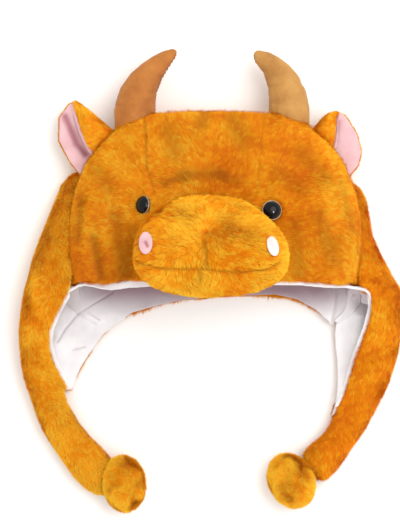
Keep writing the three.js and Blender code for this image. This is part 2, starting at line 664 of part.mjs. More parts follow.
// A stuffed horn, its rings square to its centreline.
function horn(side) {
  const rows = refined(hornTable[side], hornRingCount);
  const place = (row) => new THREE.Vector3(across(row.across), topSeamY + row.up * hornReach, hornHeight);
  const rings = rows.map((row, i) => {
    const before = place(rows[Math.max(0, i - 1)]);
    const along = place(rows[Math.min(rows.length - 1, i + 1)]).sub(before).normalize();
    const aside = new THREE.Vector3(along.y, -along.x, 0);
    const radius = row.girth * hornBaseRadius;
    return Array.from({ length: hornSideCount }, (_, j) => {
      const angle = (2 * Math.PI * j) / hornSideCount;
      const point = place(row).addScaledVector(aside, radius * Math.cos(angle));
      return point.setZ(point.z + hornFlatness * radius * Math.sin(angle));
    });
  });
  const tip = rows.at(-1);
  const end = place(tip);
  const way = end.clone().sub(place(rows.at(-3))).normalize();
  const rounded = [[0.5, 0.86], [0.87, 0.5], [0.98, 0.2]].map(([on, size]) =>
    rings.at(-1).map((p) => end.clone().lerp(p, size).addScaledVector(way, on * tip.girth * hornBaseRadius)),
  );
  return loft(rings.concat(rounded)).subtract(crownFilled);
}

// One line across a folded cloth, at a depth below its outer face: along the back from the rear edge to the
// fold, round the fold and over the front to the front edge.
function foldLine(row, depth, peek, short) {
  const fold = new THREE.Vector2(row.foldX, row.foldY);
  const toRear = new THREE.Vector2(row.rearX, row.rearY).sub(fold);
  const toFront = new THREE.Vector2(row.frontX, row.frontY).sub(fold);
  const [rearReach, frontReach] = [toRear.length() - short, toFront.length() + peek];
  toRear.normalize();
  toFront.normalize();
  const bend = Math.min(0.48 * row.high, 0.6 * frontReach, 0.6 * rearReach);
  const points = [];
  const put = (reach, z, turned) => {
    const way = toRear.clone().lerp(toFront, turned).normalize();
    points.push(new THREE.Vector3(fold.x + way.x * reach, fold.y + way.y * reach, row.lift + z));
  };
  for (const t of [0, 0.5]) put(mix(rearReach, bend, t), depth, 0);
  const steps = 5;
  for (let i = 0; i <= steps; i += 1) {
    const angle = Math.PI * (i / steps);
    const reach = bend - (bend - depth) * Math.sin(angle);
    const z = row.high / 2 - (row.high / 2 - depth) * Math.cos(angle);
    put(reach, z, ease(i / steps));
  }
  for (const t of [0.4, 0.75, 1]) {
    put(mix(bend, frontReach, t), mix(row.high, row.frontHigh, ease(t)) - depth, 1);
  }
  return points;
}

function foldedWall(rows, from, thick, peek, short) {
  const layer = (depth) => rows.map((row) => foldLine(row, depth, peek, short));
  return wall(layer(from), layer(from + thick));
}

// An ear: plush outside, pink cloth inside, folded over along its upper edge.
function ear(side) {
  const rows = refined(earTable[side], earRowCount).map((row) => {
    const high = row.high * earFold;
    const base = { x: across(row.foldX), y: upCrown(row.foldUp) };
    const rest = {
      frontX: across(row.frontX),
      frontY: upCrown(row.frontUp),
      rearX: across(row.rearX),
      rearY: upCrown(row.rearUp),
    };
    return { foldX: base.x, foldY: base.y, ...rest, high, frontHigh: high * 0.9, lift: earLift };
  });
  const plush = foldedWall(rows, 0, earPlush, 0, 0);
  const lining = foldedWall(rows, earPlush + sewnGap, earLining, earPeek, earPeek / 3);
  return {
    [`ear_${side}`]: plush.subtract(crownFilled),
    [`ear_lining_${side}`]: clearOf(lining, plush).subtract(crownFilled),
  };
}

// A ring that lies flat on the surface, across from one point of the plan to another.
function restingRing(from, to, high, grown, count = 12) {
  const middle = from.clone().add(to).multiplyScalar(0.5);
  const way = to.clone().sub(from).normalize();
  const half = from.distanceTo(to) / 2 + grown;
  const side = 0.42 * high;
  return Array.from({ length: count }, (_, j) => {
    const angle = (2 * Math.PI * j) / count;
    const [c, s] = [Math.cos(angle), Math.sin(angle)];
    const reach = half * signedPower(c, 2 / softFullness);
    const rise = (s > 0 ? high - side + grown : side * 1.15 + grown) * signedPower(s, 2 / softFullness);
    const place = middle.clone().addScaledVector(way, reach);
    return new THREE.Vector3(place.x, place.y, Math.max(-grown, side + rise));
  });
}

// The flap's root, which fills the corner beside the crown above the rim.
function flapRoot(side) {
  const rings = refined(flapRootTable[side], rootRingCount).map((row) => {
    const y = upCrown(row.up);
    const from = new THREE.Vector2(across(row.outX), y);
    return restingRing(from, new THREE.Vector2(across(row.inX), y), row.high * flapHeight, 0);
  });
  return loft(rings);
}

function flapTail(side, grown) {
  const rings = refined(tailTable[side], tailRingCount).map((row) => {
    const from = new THREE.Vector2(across(row.outX), downFlap(row.outDown));
    const to = new THREE.Vector2(across(row.inX), downFlap(row.inDown));
    return restingRing(from, to, row.high * tailHeight, grown);
  });
  return loft(rings);
}

// An earflap: a root beside the crown, an open fold of plush over a white lining, and a closed tail.
function earflap(side) {
  const rows = refined(flapTable[side], flapRowCount).map((row) => ({
    foldX: across(row.foldX),
    foldY: downFlap(row.foldDown),
    frontX: across(row.frontX),
    frontY: downFlap(row.frontDown),
    rearX: across(row.rearX),
    rearY: downFlap(row.rearDown),
    high: row.high * flapHeight,
    frontHigh: mix(row.high, row.high ** 2, frontSag) * flapHeight,
    lift: 0,
  }));
  const open = foldedWall(rows, 0, plushWall, 0, 0);
  const plush = open.add(flapRoot(side)).add(flapTail(side, 0));
  const lining = foldedWall(rows, plushWall + sewnGap, liningWall, liningPeek, flapBackPeek);
  const crown = crownFilled.add(crownMouth());
  const clear = crown.add(flapRootGrown(side)).add(flapTail(side, sewnGap));
  return {
    [`earflap_${side}`]: clearOf(plush.subtract(crown), crownLiningSolid),
    [`earflap_lining_${side}`]: clearOf(clearOf(lining.subtract(clear), open), crownLiningSolid),
  };
}

function flapRootGrown(side) {
  return flapRoot(side).translate([0, -sewnGap, 0]);
}

// The biggest body of a solid, without the slivers that a cut can leave.
function largest(solid) {
  return solid.decompose().reduce((a, b) => (a.volume() > b.volume() ? a : b));
}

// A plush pompom sewn to the end of a tail, dimpled where the tail meets it.
function pompom(row) {
  const geometry = new THREE.SphereGeometry(1, 16, 10);
  geometry.scale(pompomLong / 2, (row.plump * pompomWide) / 2, pompomHigh / 2);
  geometry.rotateZ(radians(row.turn));
  const centre = [across(row.across), downFlap(row.down), pompomHigh / 2 - 1];
  geometry.translate(...centre);
  const far = crownWidth * 2;
  const surface = prism([[-far, -far], [far, -far], [far, far], [-far, far]], -far, 0);
  return manifoldOf(geometry).subtract(surface).subtract(flapTail(row.side, sewnGap));
}

const materials = {
  plush: new THREE.MeshStandardMaterial({ color: 0xd9860f, roughness: 0.95, metalness: 0 }),
  lining: new THREE.MeshStandardMaterial({ color: 0xf1eef2, roughness: 0.7, metalness: 0 }),
  pink: new THREE.MeshStandardMaterial({ color: 0xf3bfca, roughness: 0.75, metalness: 0 }),
  suede: new THREE.MeshStandardMaterial({ color: 0xc4803a, roughness: 0.85, metalness: 0 }),
  eye: new THREE.MeshStandardMaterial({ color: 0x0b0b0c, roughness: 0.08, metalness: 0 }),
};

const hat = new THREE.Group();
hat.name = "plush_bull_hat";

function addPiece(name, solid, material) {
  const mesh = solid.getMesh();
  const geometry = new THREE.BufferGeometry();
  geometry.setAttribute("position", new THREE.BufferAttribute(mesh.vertProperties, 3));
  geometry.setIndex(new THREE.BufferAttribute(mesh.triVerts, 1));
  geometry.computeVertexNormals();
  const piece = new THREE.Mesh(geometry, material);
  piece.name = name;
  hat.add(piece);
}

for (const [name, solid] of Object.entries(crownPanels())) addPiece(name, largest(solid), materials.plush);
addPiece("crown_lining", crownLiningSolid, materials.lining);
for (const [name, solid] of Object.entries(muzzleParts())) addPiece(name, largest(solid), materials.plush);
for (const row of nostrilTable) addPiece(`nostril_${row.side}`, largest(nostril(row)), materials.pink);
for (const row of eyeTable) addPiece(`eye_${row.side}`, eye(row), materials.eye);
for (const side of ["left", "right"]) {
  addPiece(`horn_${side}`, largest(horn(side)), materials.suede);
  const folded = ear(side);
  addPiece(`ear_${side}`, largest(folded[`ear_${side}`]), materials.plush);
  addPiece(`ear_lining_${side}`, largest(folded[`ear_lining_${side}`]), materials.pink);
  const flap = earflap(side);
  addPiece(`earflap_${side}`, flap[`earflap_${side}`], materials.plush);
  addPiece(`earflap_lining_${side}`, flap[`earflap_lining_${side}`], materials.lining);
}
for (const row of pompomTable) addPiece(`pompom_${row.side}`, largest(pompom(row)), materials.plush);

export default hat;
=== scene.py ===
# %% [markdown]
# A plush bull hat with two long earflaps, lying on its back on a white surface and seen from straight
# above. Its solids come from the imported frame, in metres: X across the face, Y from the brow up to the
# horns and Z up from the surface. They could be shown as they are, but solids have neither pile nor soft
# folds. So this lesson dresses them in pile, lining, suede-like cloth and plastic, one piece after another.

import math

import bmesh
import bpy
import numpy as np
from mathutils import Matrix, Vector, noise
from mathutils.bvhtree import BVHTree


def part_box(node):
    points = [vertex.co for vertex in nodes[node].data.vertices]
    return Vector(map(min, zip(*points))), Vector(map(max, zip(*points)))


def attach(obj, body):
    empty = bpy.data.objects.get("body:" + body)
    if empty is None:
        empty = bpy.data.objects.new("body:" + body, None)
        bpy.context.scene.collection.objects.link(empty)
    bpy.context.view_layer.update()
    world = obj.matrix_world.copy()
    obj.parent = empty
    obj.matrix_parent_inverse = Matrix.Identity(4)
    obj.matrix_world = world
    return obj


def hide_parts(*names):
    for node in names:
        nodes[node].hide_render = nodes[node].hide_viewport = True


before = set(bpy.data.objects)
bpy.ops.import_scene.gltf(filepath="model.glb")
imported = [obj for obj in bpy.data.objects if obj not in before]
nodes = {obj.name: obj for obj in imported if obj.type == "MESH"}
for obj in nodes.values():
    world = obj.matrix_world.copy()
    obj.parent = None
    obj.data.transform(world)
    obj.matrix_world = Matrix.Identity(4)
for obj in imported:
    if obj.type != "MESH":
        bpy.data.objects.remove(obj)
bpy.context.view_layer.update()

# %% [markdown]
# The camera comes first, because every later choice is judged through it. A hat laid out for a catalogue is
# photographed from well above. A wide lens close by would swell the nose, so a long lens hangs 2.5 m over
# the hat. Its length makes the picture 494 mm tall at the height of the hat's face.

# %% The camera straight above
MM = 0.001
CAMERA_HEIGHT = 2500 * MM
PICTURE_TALL = 494.4 * MM
PICTURE_MIDDLE = (-9.4 * MM, 17.9 * MM)
FACE_LEVEL = 40 * MM

camera_data = bpy.data.cameras.new("above")
camera_data.sensor_fit = "VERTICAL"
camera_data.sensor_height = 24
camera_data.lens = 24 * (CAMERA_HEIGHT - FACE_LEVEL) / PICTURE_TALL
camera = bpy.data.objects.new("above", camera_data)
camera.location = (*PICTURE_MIDDLE, CAMERA_HEIGHT)
bpy.context.scene.collection.objects.link(camera)
bpy.context.scene.camera = camera
print("lens:", round(camera_data.lens, 1), "mm")

# %% [markdown]
# The light is a bright white studio with one large soft lamp at the upper right. The real shadows are faint
# and fall to the left and a little down, and the surface is almost burnt out. A single strong lamp would
# make them hard, so a white world fills everything and a broad lamp only shapes the pile. One more lamp is
# seen by reflections alone and puts the highlight in each eye.

# %% Floor and lamps
world = bpy.data.worlds.new("studio")
world.use_nodes = True
world.node_tree.nodes["Background"].inputs["Color"].default_value = (1.0, 0.985, 0.97, 1)
world.node_tree.nodes["Background"].inputs["Strength"].default_value = 1.1
bpy.context.scene.world = world


def lamp(name, place, target, size, power, colour=(1, 1, 1)):
    data = bpy.data.lights.new(name, "AREA")
    data.shape = "DISK"
    data.size = size
    data.energy = power
    data.color = colour
    made = bpy.data.objects.new(name, data)
    made.location = place
    made.rotation_euler = (Vector(target) - Vector(place)).to_track_quat("-Z", "Y").to_euler()
    bpy.context.scene.collection.objects.link(made)
    return made


lamp("main_lamp", place=(0.9, 0.6, 1.9), target=(0, 0, 0), size=1.8, power=24, colour=(1, 0.985, 0.96))
eye_lamp = lamp("eye_lamp", place=(1.0, -0.25, 2.1), target=(0, 0, 0.1), size=0.45, power=30)
eye_lamp.visible_diffuse = False

floor_mesh = bpy.data.meshes.new("white_surface")
floor_mesh.from_pydata([(-3, -3, 0), (3, -3, 0), (3, 3, 0), (-3, 3, 0)], [], [(0, 1, 2, 3)])
white_surface = bpy.data.objects.new("white_surface", floor_mesh)
white_surface.location.z = -0.3 * MM
bpy.context.scene.collection.objects.link(white_surface)

bpy.context.scene.view_settings.view_transform = "Standard"

# %% [markdown]
# A finish is a small tree of nodes, and most of these trees begin in the same way. Each could be written
# out in full, but then the few numbers that matter are lost among links. So a helper makes the material
# with its shader and has one short form for each kind of node that the finishes share.

# %% Helpers for finishes
class Finish:
    def __init__(self, name, roughness=0.8, **sockets):
        self.material = bpy.data.materials.new(name)
        self.material.use_nodes = True
        self.tree = self.material.node_tree
        self.shader = self.tree.nodes["Principled BSDF"]
        self.shader.inputs["Roughness"].default_value = roughness
        for socket, value in sockets.items():
            self.shader.inputs[socket.replace("_", " ")].default_value = value

    def add(self, kind, values=None, **settings):
        node = self.tree.nodes.new(kind)
        for key, value in settings.items():
            setattr(node, key, value)
        for key, value in (values or {}).items():
            node.inputs[key].default_value = value
        return node

    def link(self, source, target):
        self.tree.links.new(source, target)

    def place(self):
        return self.add("ShaderNodeTexCoord").outputs["Object"]

    def noise(self, scale, detail=2.0, stretch=(1, 1, 1), vector=None):
        mapping = self.add("ShaderNodeMapping", {"Scale": stretch})
        self.link(vector or self.place(), mapping.inputs["Vector"])
        made = self.add("ShaderNodeTexNoise", {"Scale": scale, "Detail": detail})
        self.link(mapping.outputs["Vector"], made.inputs["Vector"])
        return made.outputs["Fac"]

    def attribute(self, name):
        return self.add("ShaderNodeAttribute", attribute_name=name).outputs["Fac"]

    def ramp(self, source, *stops):
        made = self.add("ShaderNodeValToRGB")
        ramp = made.color_ramp
        while len(ramp.elements) < len(stops):
            ramp.elements.new(0.5)
        for element, (at, colour) in zip(ramp.elements, stops):
            element.position = at
            element.color = (*colour, 1)
        self.link(source, made.inputs["Fac"])
        return made.outputs["Color"]

    def math(self, operation, a, b):
        made = self.add("ShaderNodeMath", operation=operation)
        for socket, value in zip(made.inputs, (a, b)):
            if isinstance(value, (int, float)):
                socket.default_value = value
            else:
                self.link(value, socket)
        return made.outputs[0]

    def mix(self, factor, a, b, blend="MIX"):
        made = self.add("ShaderNodeMix", data_type="RGBA", blend_type=blend)
        for socket, value in zip((made.inputs[0], made.inputs[6], made.inputs[7]), (factor, a, b)):
            if isinstance(value, tuple):
                socket.default_value = (*value, 1)
            elif isinstance(value, (int, float)):
                socket.default_value = value
            else:
                self.link(value, socket)
        return made.outputs[2]

    def bump(self, height, strength, distance):
        made = self.add("ShaderNodeBump", {"Strength": strength, "Distance": distance})
        self.link(height, made.inputs["Height"])
        self.link(made.outputs["Normal"], self.shader.inputs["Normal"])

    def colour(self, source):
        self.link(source, self.shader.inputs["Base Color"])


print("finish helper ready")

# %% [markdown]
# The pile is golden orange, dark and reddish at its roots and yellow at its tips; the darker roots are
# partly painted shade deep in the pile. One flat colour would look like felt. So each blade of pile carries
# two numbers: tip, from 0 at the root to 1 at its point, and tone, its own shade, which also carries a
# piece's painted light. The colour is read from these and from a soft cloudiness across the cloth, and a
# third attribute paints shade into seams, folds and covered cloth.

# %% Finish of the pile
pile = Finish("plush_pile", 0.7)
pile.shader.inputs["Sheen Weight"].default_value = 0.2
pile.shader.inputs["Sheen Roughness"].default_value = 0.4
pile.shader.inputs["Sheen Tint"].default_value = (1.0, 0.62, 0.1, 1)
pile.shader.inputs["Specular IOR Level"].default_value = 0.12
cloudy = pile.noise(30, 3.0)
own_tone = pile.math("MULTIPLY", pile.attribute("tone"), 0.6)
shade = pile.math("ADD", pile.math("MULTIPLY", cloudy, 0.6), own_tone)
tips = pile.ramp(
    shade,
    (0.24, (0.78, 0.19, 0.001)),
    (0.42, (0.93, 0.30, 0.002)),
    (0.60, (1.0, 0.455, 0.004)),
    (0.82, (1.0, 0.67, 0.035)),
)
# painted shade: the darker roots stand partly for the shade deep in the pile
roots = pile.ramp(cloudy, (0.3, (0.64, 0.15, 0.001)), (0.7, (0.82, 0.25, 0.002)))
hairs = pile.mix(pile.attribute("tip"), roots, tips)
# painted shade: this dark orange is mixed in on seams, on covered cloth and in folds
pile.colour(pile.mix(pile.attribute("painted_shade"), hairs, (0.34, 0.095, 0.002)))
print("pile:", len(pile.tree.nodes), "nodes")

# %% [markdown]
# The lining is a thin white brushed cloth, which looks faintly violet in its shaded folds. It has no
# pattern, so a drawn weave would add nothing. Two noises make its nap and its soft waves, and the deep
# attribute paints violet grey shade into it where the crown's inside lies in shade.

# %% Finish of the lining
lining = Finish("white_lining", 0.7)
lining.shader.inputs["Sheen Weight"].default_value = 0.15
waves = lining.noise(45, 2.0)
nap = lining.noise(1400, 2.0, (1, 0.35, 1))
white = lining.ramp(waves, (0.3, (0.74, 0.715, 0.74)), (0.65, (0.85, 0.84, 0.85)))
# painted shade: violet grey mixed in where the lining lies in shade
lining.colour(lining.mix(lining.attribute("deep"), white, (0.32, 0.20, 0.235)))
lining.bump(lining.math("ADD", waves, lining.math("MULTIPLY", nap, 0.05)), 0.6, 0.003)
print("lining:", len(lining.tree.nodes), "nodes")

# %% [markdown]
# The horns are sewn from a tan cloth with a short suede-like nap, gathered along a seam on their inner
# side. The seam attribute is 1 on that seam and fades beside it, and paints the shade between puckers into
# the cloth. The right horn catches more of the lamp, so painted light makes it a lighter tan than the left
# one. A second material would do, but one attribute for that painted light keeps both horns one cloth. Fine
# grain comes from a noise that is drawn out along the horn.

# %% Finish of the horns
suede = Finish("tan_suede", 0.85)
suede.shader.inputs["Sheen Weight"].default_value = 0.15
suede.shader.inputs["Sheen Tint"].default_value = (1.0, 0.8, 0.55, 1)
brushed = suede.noise(60, 4.0)
grain = suede.noise(900, 3.0, (1, 0.5, 1))
mottled = suede.math("ADD", suede.math("MULTIPLY", brushed, 0.75), suede.math("MULTIPLY", grain, 0.25))
tan = suede.ramp(
    mottled,
    (0.32, (0.31, 0.09, 0.007)),
    (0.5, (0.40, 0.13, 0.013)),
    (0.7, (0.49, 0.18, 0.025)),
)
# painted light: the lighter tan of the right horn, which catches more of the lamp
pale_tan = suede.ramp(
    mottled,
    (0.32, (0.36, 0.155, 0.028)),
    (0.5, (0.44, 0.205, 0.042)),
    (0.7, (0.51, 0.27, 0.065)),
)
both_tans = suede.mix(suede.attribute("pale"), tan, pale_tan)
# painted shade: darker along the horn's inner seam, between its puckers
suede.colour(suede.mix(suede.attribute("seam"), both_tans, (0.2, 0.07, 0.018)))
suede.bump(mottled, 0.5, 0.0006)
print("suede:", len(suede.tree.nodes), "nodes")

# %% [markdown]
# The ears and nostrils show a pink cloth with a very short nap. Painted shade makes it mauve in a crease,
# and painted light makes it nearly white on the right nostril. Separate materials would do, but one with
# two
# attributes keeps them the same cloth: one paints shade into a crease and the other paints light onto a
# patch.

# %% Finish of the pink cloth
pink = Finish("pink_cloth", 0.75)
pink.shader.inputs["Sheen Weight"].default_value = 0.1
soft = pink.noise(90, 3.0)
fine = pink.noise(1600, 2.0)
rosy = pink.ramp(soft, (0.3, (0.66, 0.385, 0.41)), (0.7, (0.74, 0.475, 0.495)))
# painted light: a patch turned nearly white
paler = pink.mix(pink.attribute("pale"), rosy, (0.80, 0.67, 0.65))
# painted shade: mauve mixed into a crease
pink.colour(pink.mix(pink.attribute("fold"), paler, (0.34, 0.10, 0.13)))
pink.bump(pink.math("ADD", soft, pink.math("MULTIPLY", fine, 0.15)), 0.4, 0.0008)
print("pink cloth:", len(pink.tree.nodes), "nodes")

# %% [markdown]
# The eyes are glossy black plastic in a thin rim, and the surface is plain white paper. The rim's orange
# brown is a painted reflection of the pile around it. Both need little more than a colour and a roughness.
# A low specular level keeps the eyes black under the white world, so that only their highlights are bright.

# %% Finish of the eyes and of the white surface
eye_plastic = Finish("black_plastic", 0.05)
eye_plastic.shader.inputs["Specular IOR Level"].default_value = 0.18
eye_plastic.shader.inputs["Base Color"].default_value = (0.004, 0.004, 0.005, 1)
eye_rim = Finish("eye_rim_painted_reflection", 0.22)
# painted reflection: the rim's orange brown stands for the pile mirrored in it
rim_shade = eye_rim.noise(500, 2.0)
eye_rim.colour(eye_rim.ramp(rim_shade, (0.3, (0.24, 0.13, 0.05)), (0.7, (0.38, 0.24, 0.12))))
paper = Finish("white_paper", 0.6)
paper.shader.inputs["Base Color"].default_value = (0.97, 0.965, 0.955, 1)
white_surface.data.materials.append(paper.material)
print("finishes:", [m.name for m in bpy.data.materials if m.use_nodes])

# %% [markdown]
# Every dressed piece starts as a copy of its solid. Subdividing the solid would keep its long facets, and
# modelling each piece again would lose its fit. So the copy's doubled points are merged, it is built again
# from small even cells that can bend anywhere, and it is smoothed until the facets are gone. Its points are
# then handled as plain arrays.

# %% A soft copy of a solid
def soft_copy(solids, name, cell, smooth_steps, sewn_on=None):
    bm = bmesh.new()
    for node in solids:
        bm.from_mesh(nodes[node].data)
    bmesh.ops.remove_doubles(bm, verts=bm.verts, dist=1e-6)
    if sewn_on is not None:
        sewn_on(bm)
    mesh = bpy.data.meshes.new(name)
    bm.to_mesh(mesh)
    bm.free()
    piece = bpy.data.objects.new(name, mesh)
    bpy.context.scene.collection.objects.link(piece)
    remesh = piece.modifiers.new("even_cells", "REMESH")
    remesh.mode = "VOXEL"
    remesh.voxel_size = cell
    ease = piece.modifiers.new("ease", "SMOOTH")
    ease.factor = 0.5
    ease.iterations = smooth_steps
    settle(piece)
    return piece


def settle(piece):
    """Turns what the modifiers make into the piece's own mesh."""
    graph = bpy.context.evaluated_depsgraph_get()
    mesh = bpy.data.meshes.new_from_object(piece.evaluated_get(graph))
    piece.modifiers.clear()
    piece.data = mesh
    return mesh


def points_of(mesh):
    values = np.empty(len(mesh.vertices) * 3, np.float32)
    mesh.vertices.foreach_get("co", values)
    return values.reshape(-1, 3)


def normals_of(mesh):
    values = np.empty(len(mesh.vertices) * 3, np.float32)
    mesh.vertex_normals.foreach_get("vector", values)
    return values.reshape(-1, 3)


def put_points(mesh, points):
    mesh.vertices.foreach_set("co", points.astype(np.float32).ravel())
    mesh.update()


def put_numbers(mesh, name, values):
    made = mesh.attributes.new(name, "FLOAT", "POINT")
    made.data.foreach_set("value", np.asarray(values, np.float32))


def put_vectors(mesh, name, values):
    made = mesh.attributes.new(name, "FLOAT_VECTOR", "POINT")
    made.data.foreach_set("vector", np.asarray(values, np.float32).ravel())


print("soft copy helper ready")

# %% [markdown]
# Pile grows only on the outside of the cloth. Marking that by hand would have to be done again after every
# change of shape. A short ray from each point, straight out of the surface, tells whether another piece
# lies against it: the lining behind a panel, the next panel across a seam, or the surface below. Such
# points stay bare.

# %% Where the pile may grow
solid_trees = {}
for node_name, solid in nodes.items():
    bm = bmesh.new()
    bm.from_mesh(solid.data)
    solid_trees[node_name] = BVHTree.FromBMesh(bm)
    bm.free()
lows = {name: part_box(name)[0] for name in nodes}
highs = {name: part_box(name)[1] for name in nodes}
LINING_REACH = 4.5 * MM
PANEL_REACH = 1.6 * MM
RESTING = 2.2 * MM


def bare_share(points, normals, own):
    """Two shares: 1 where a point is free to grow pile, and 1 where a lining lies against it."""
    free = np.ones(len(points))
    lined = np.zeros(len(points))
    for index, (point, normal) in enumerate(zip(points, normals)):
        if point[2] < RESTING and normal[2] < -0.5:
            free[index] = 0
            continue
        start = Vector(point)
        way = Vector(normal)
        for other, tree in solid_trees.items():
            if other in own or "eye" in other or "nostril" in other:
                continue
            low, high = lows[other], highs[other]
            if any(not low[k] - LINING_REACH <= point[k] <= high[k] + LINING_REACH for k in range(3)):
                continue
            reach = LINING_REACH if "lining" in other else PANEL_REACH
            if tree.ray_cast(start, way, reach)[0] is not None:
                free[index] = 0
                lined[index] = "lining" in other
                break
    return free, lined


print("trees:", len(solid_trees))

# %% [markdown]
# Seams, mouth and wrinkles are lines on the face where the cloth dips and the pile is parted. They could be
# cut into the mesh, but the even cells have no edges there. So each seam is a broken line in the plan, in
# millimetres, and a point dips by how near it lies. A fold is a softer and wider dip that doesn't part the
# pile.

# %% Seams and folds of the face
SEAMS = {
    "forehead_left": [(-61.0, 158.0), (-59.0, 133.0), (-57.0, 105.0), (-50.0, 82.0)],
    "forehead_right": [(49.8, 158.0), (47.0, 124.0), (43.0, 91.0), (41.0, 77.0)],
    "mouth": [(-68, 20.5), (-62, 17.5), (-43, 13.9), (-16, 14.6), (0, 13.1), (26, 10.1), (50, 12.5),
              (61, 18)],
    "nose": [(-4.5, 38.0), (-4.0, 26.0), (-4.5, 14.0)],
    "lip": [(-11.0, 13.5), (-10.5, 2.0)],
}
SEAM_REACH = 1.2
FAINT_SEAMS = ("forehead_right",)
FOLDS = [
    # where a fold starts and ends, how far it reaches and how deep it is, in mm
    ((-42, 91), (-24, 97), 5.0, 3.0),
    ((-24, 97), (8, 98), 6.0, 3.6),
    ((8, 98), (24, 92), 5.0, 2.6),
    ((-3, 158), (-8, 146), 6.0, 3.0),
    ((20, 152), (30, 128), 10.0, 2.6),
    ((-40, 140), (-32, 118), 9.0, 2.2),
    ((-118, 76), (-122, 40), 4.5, 3.4),
    ((-107, 40), (-100, 6), 5.0, 3.6),
    ((-86, 60), (-80, 8), 7.0, 3.0),
    ((-72, 50), (-74, 10), 6.0, 2.4),
    ((84, 118), (104, 96), 9.0, 2.4),
    ((62, 100), (84, 84), 8.0, 1.8),
    ((100, 60), (112, 20), 8.0, 2.6),
    ((76, 52), (80, 10), 7.0, 2.0),
    ((120, 92), (132, 50), 6.0, 1.8),
    ((-104, 104), (-92, 86), 7.0, 2.0),
]


def distance_to_line(plan, line):
    """The distance in the plan from each point to a broken line."""
    nearest = np.full(len(plan), 1e9)
    for (ax, ay), (bx, by) in zip(line, line[1:]):
        start = np.array([ax, ay])
        way = np.array([bx - ax, by - ay])
        along = np.clip((plan - start) @ way / (way @ way), 0, 1)
        nearest = np.minimum(nearest, np.linalg.norm(plan - start - along[:, None] * way, axis=1))
    return nearest


def parted(points, names):
    """1 on a seam, 0 away from it."""
    plan = points[:, :2] / MM
    share = np.zeros(len(points))
    for name in names:
        most = 0.45 if name in FAINT_SEAMS else 0.9
        away = distance_to_line(plan, SEAMS[name]) / SEAM_REACH
        share = np.maximum(share, most * np.exp(-(away**2)))
    return share


def folded(points):
    """The depth of the folds at each point, in metres."""
    plan = points[:, :2] / MM
    depth = np.zeros(len(points))
    for start, end, reach, deep in FOLDS:
        depth += deep * np.exp(-((distance_to_line(plan, [start, end]) / reach) ** 2))
    return depth * MM


print("seams:", len(SEAMS), "folds:", len(FOLDS))

# %% [markdown]
# Combing gives each point of the cloth the way that its pile leans. Real pile lies roughly one way over a
# panel until handling ruffles it. Leaning at random would look like wool. So the way starts as one rule for
# a piece, a broad slow noise turns it, and the result is laid flat against the surface.

# %% Combing
def combed(points, normals, way, ruffle=0.7, scale=34.0, seed=0.0):
    """The way that the pile leans at each point, along the cloth."""
    base = np.array(way(points) if callable(way) else [way] * len(points), float)
    base -= (base * normals).sum(1)[:, None] * normals
    base /= np.maximum(np.linalg.norm(base, axis=1), 1e-6)[:, None]
    side = np.cross(normals, base)
    broad = Vector((seed, 3.1, 7.7))
    small = Vector((seed, 9.4, 1.3))
    turn = np.array([noise.noise(Vector(p) * scale + broad) for p in points])
    turn += 0.5 * np.array([noise.noise(Vector(p) * scale * 3.2 + small) for p in points])
    turn *= ruffle * 2.6
    return base * np.cos(turn)[:, None] + side * np.sin(turn)[:, None]


def cloudiness(points, scale=26.0, seed=5.0):
    """A slow shade from 0 to 1 over the cloth."""
    slow = np.array([noise.noise(Vector(p) * scale + Vector((seed, 0.4, 2.2))) for p in points])
    return np.clip(0.5 + 0.9 * slow, 0, 1)


def away_from(across, up):
    """A way of combing that points away from one spot in the plan, given in mm."""
    return lambda points: (points - np.array([across * MM, up * MM, 0])) * (1, 1, 0)


print("combing ready")

# %% [markdown]
# A plush piece bears tens of thousands of slim tufts of fibre. Hair curves could stand for them, but the
# exported model keeps only meshes. Instead of hair curves, Geometry Nodes scatter real mesh blades over the
# free cloth. This helper adds a node, fills its sockets with values or links, and has short forms for sums,
# vectors and attributes.

# %% A helper that builds a tree of geometry nodes
class Tree:
    def __init__(self, name):
        self.group = bpy.data.node_groups.new(name, "GeometryNodeTree")

    def socket(self, name, kind, way="INPUT"):
        return self.group.interface.new_socket(name, in_out=way, socket_type="NodeSocket" + kind)

    def add(self, kind, values=None, **settings):
        node = self.group.nodes.new(kind)
        for key, value in settings.items():
            setattr(node, key, value)
        for key, value in (values or {}).items():
            if isinstance(value, bpy.types.NodeSocket):
                self.group.links.new(value, node.inputs[key])
            else:
                node.inputs[key].default_value = value
        return node

    def maths(self, operation, a, b):
        return self.add("ShaderNodeMath", {0: a, 1: b}, operation=operation).outputs[0]

    def vectors(self, operation, a, b):
        return self.add("ShaderNodeVectorMath", {0: a, 1: b}, operation=operation).outputs["Vector"]

    def scaled(self, a, by):
        return self.add("ShaderNodeVectorMath", {0: a, "Scale": by}, operation="SCALE").outputs["Vector"]

    def attribute(self, name, kind="FLOAT"):
        node = self.add("GeometryNodeInputNamedAttribute", {"Name": name}, data_type=kind)
        return node.outputs["Attribute"]

    def kept(self, geometry, name, value):
        """Keeps a number on every point of the geometry."""
        node = self.add("GeometryNodeStoreNamedAttribute", {"Name": name, "Value": value}, domain="POINT")
        self.group.links.new(geometry, node.inputs["Geometry"])
        return node.outputs["Geometry"]

    def chance(self, low, high, seed):
        node = self.add("FunctionNodeRandomValue", {2: low, 3: high, "Seed": seed}, data_type="FLOAT")
        return node.outputs[1]


print("tree helper ready")

# %% [markdown]
# The tree's inputs are what a maker would order: how dense, how long, how wide and how tangled. The points
# could be placed by a loop, but the tree does it faster and can be tuned in the editor. They are spread
# with a fixed seed and thinned by the free attribute, so that each run grows the same pile. Neighbours
# share a cell of a cellular noise, which later draws them into one clump.

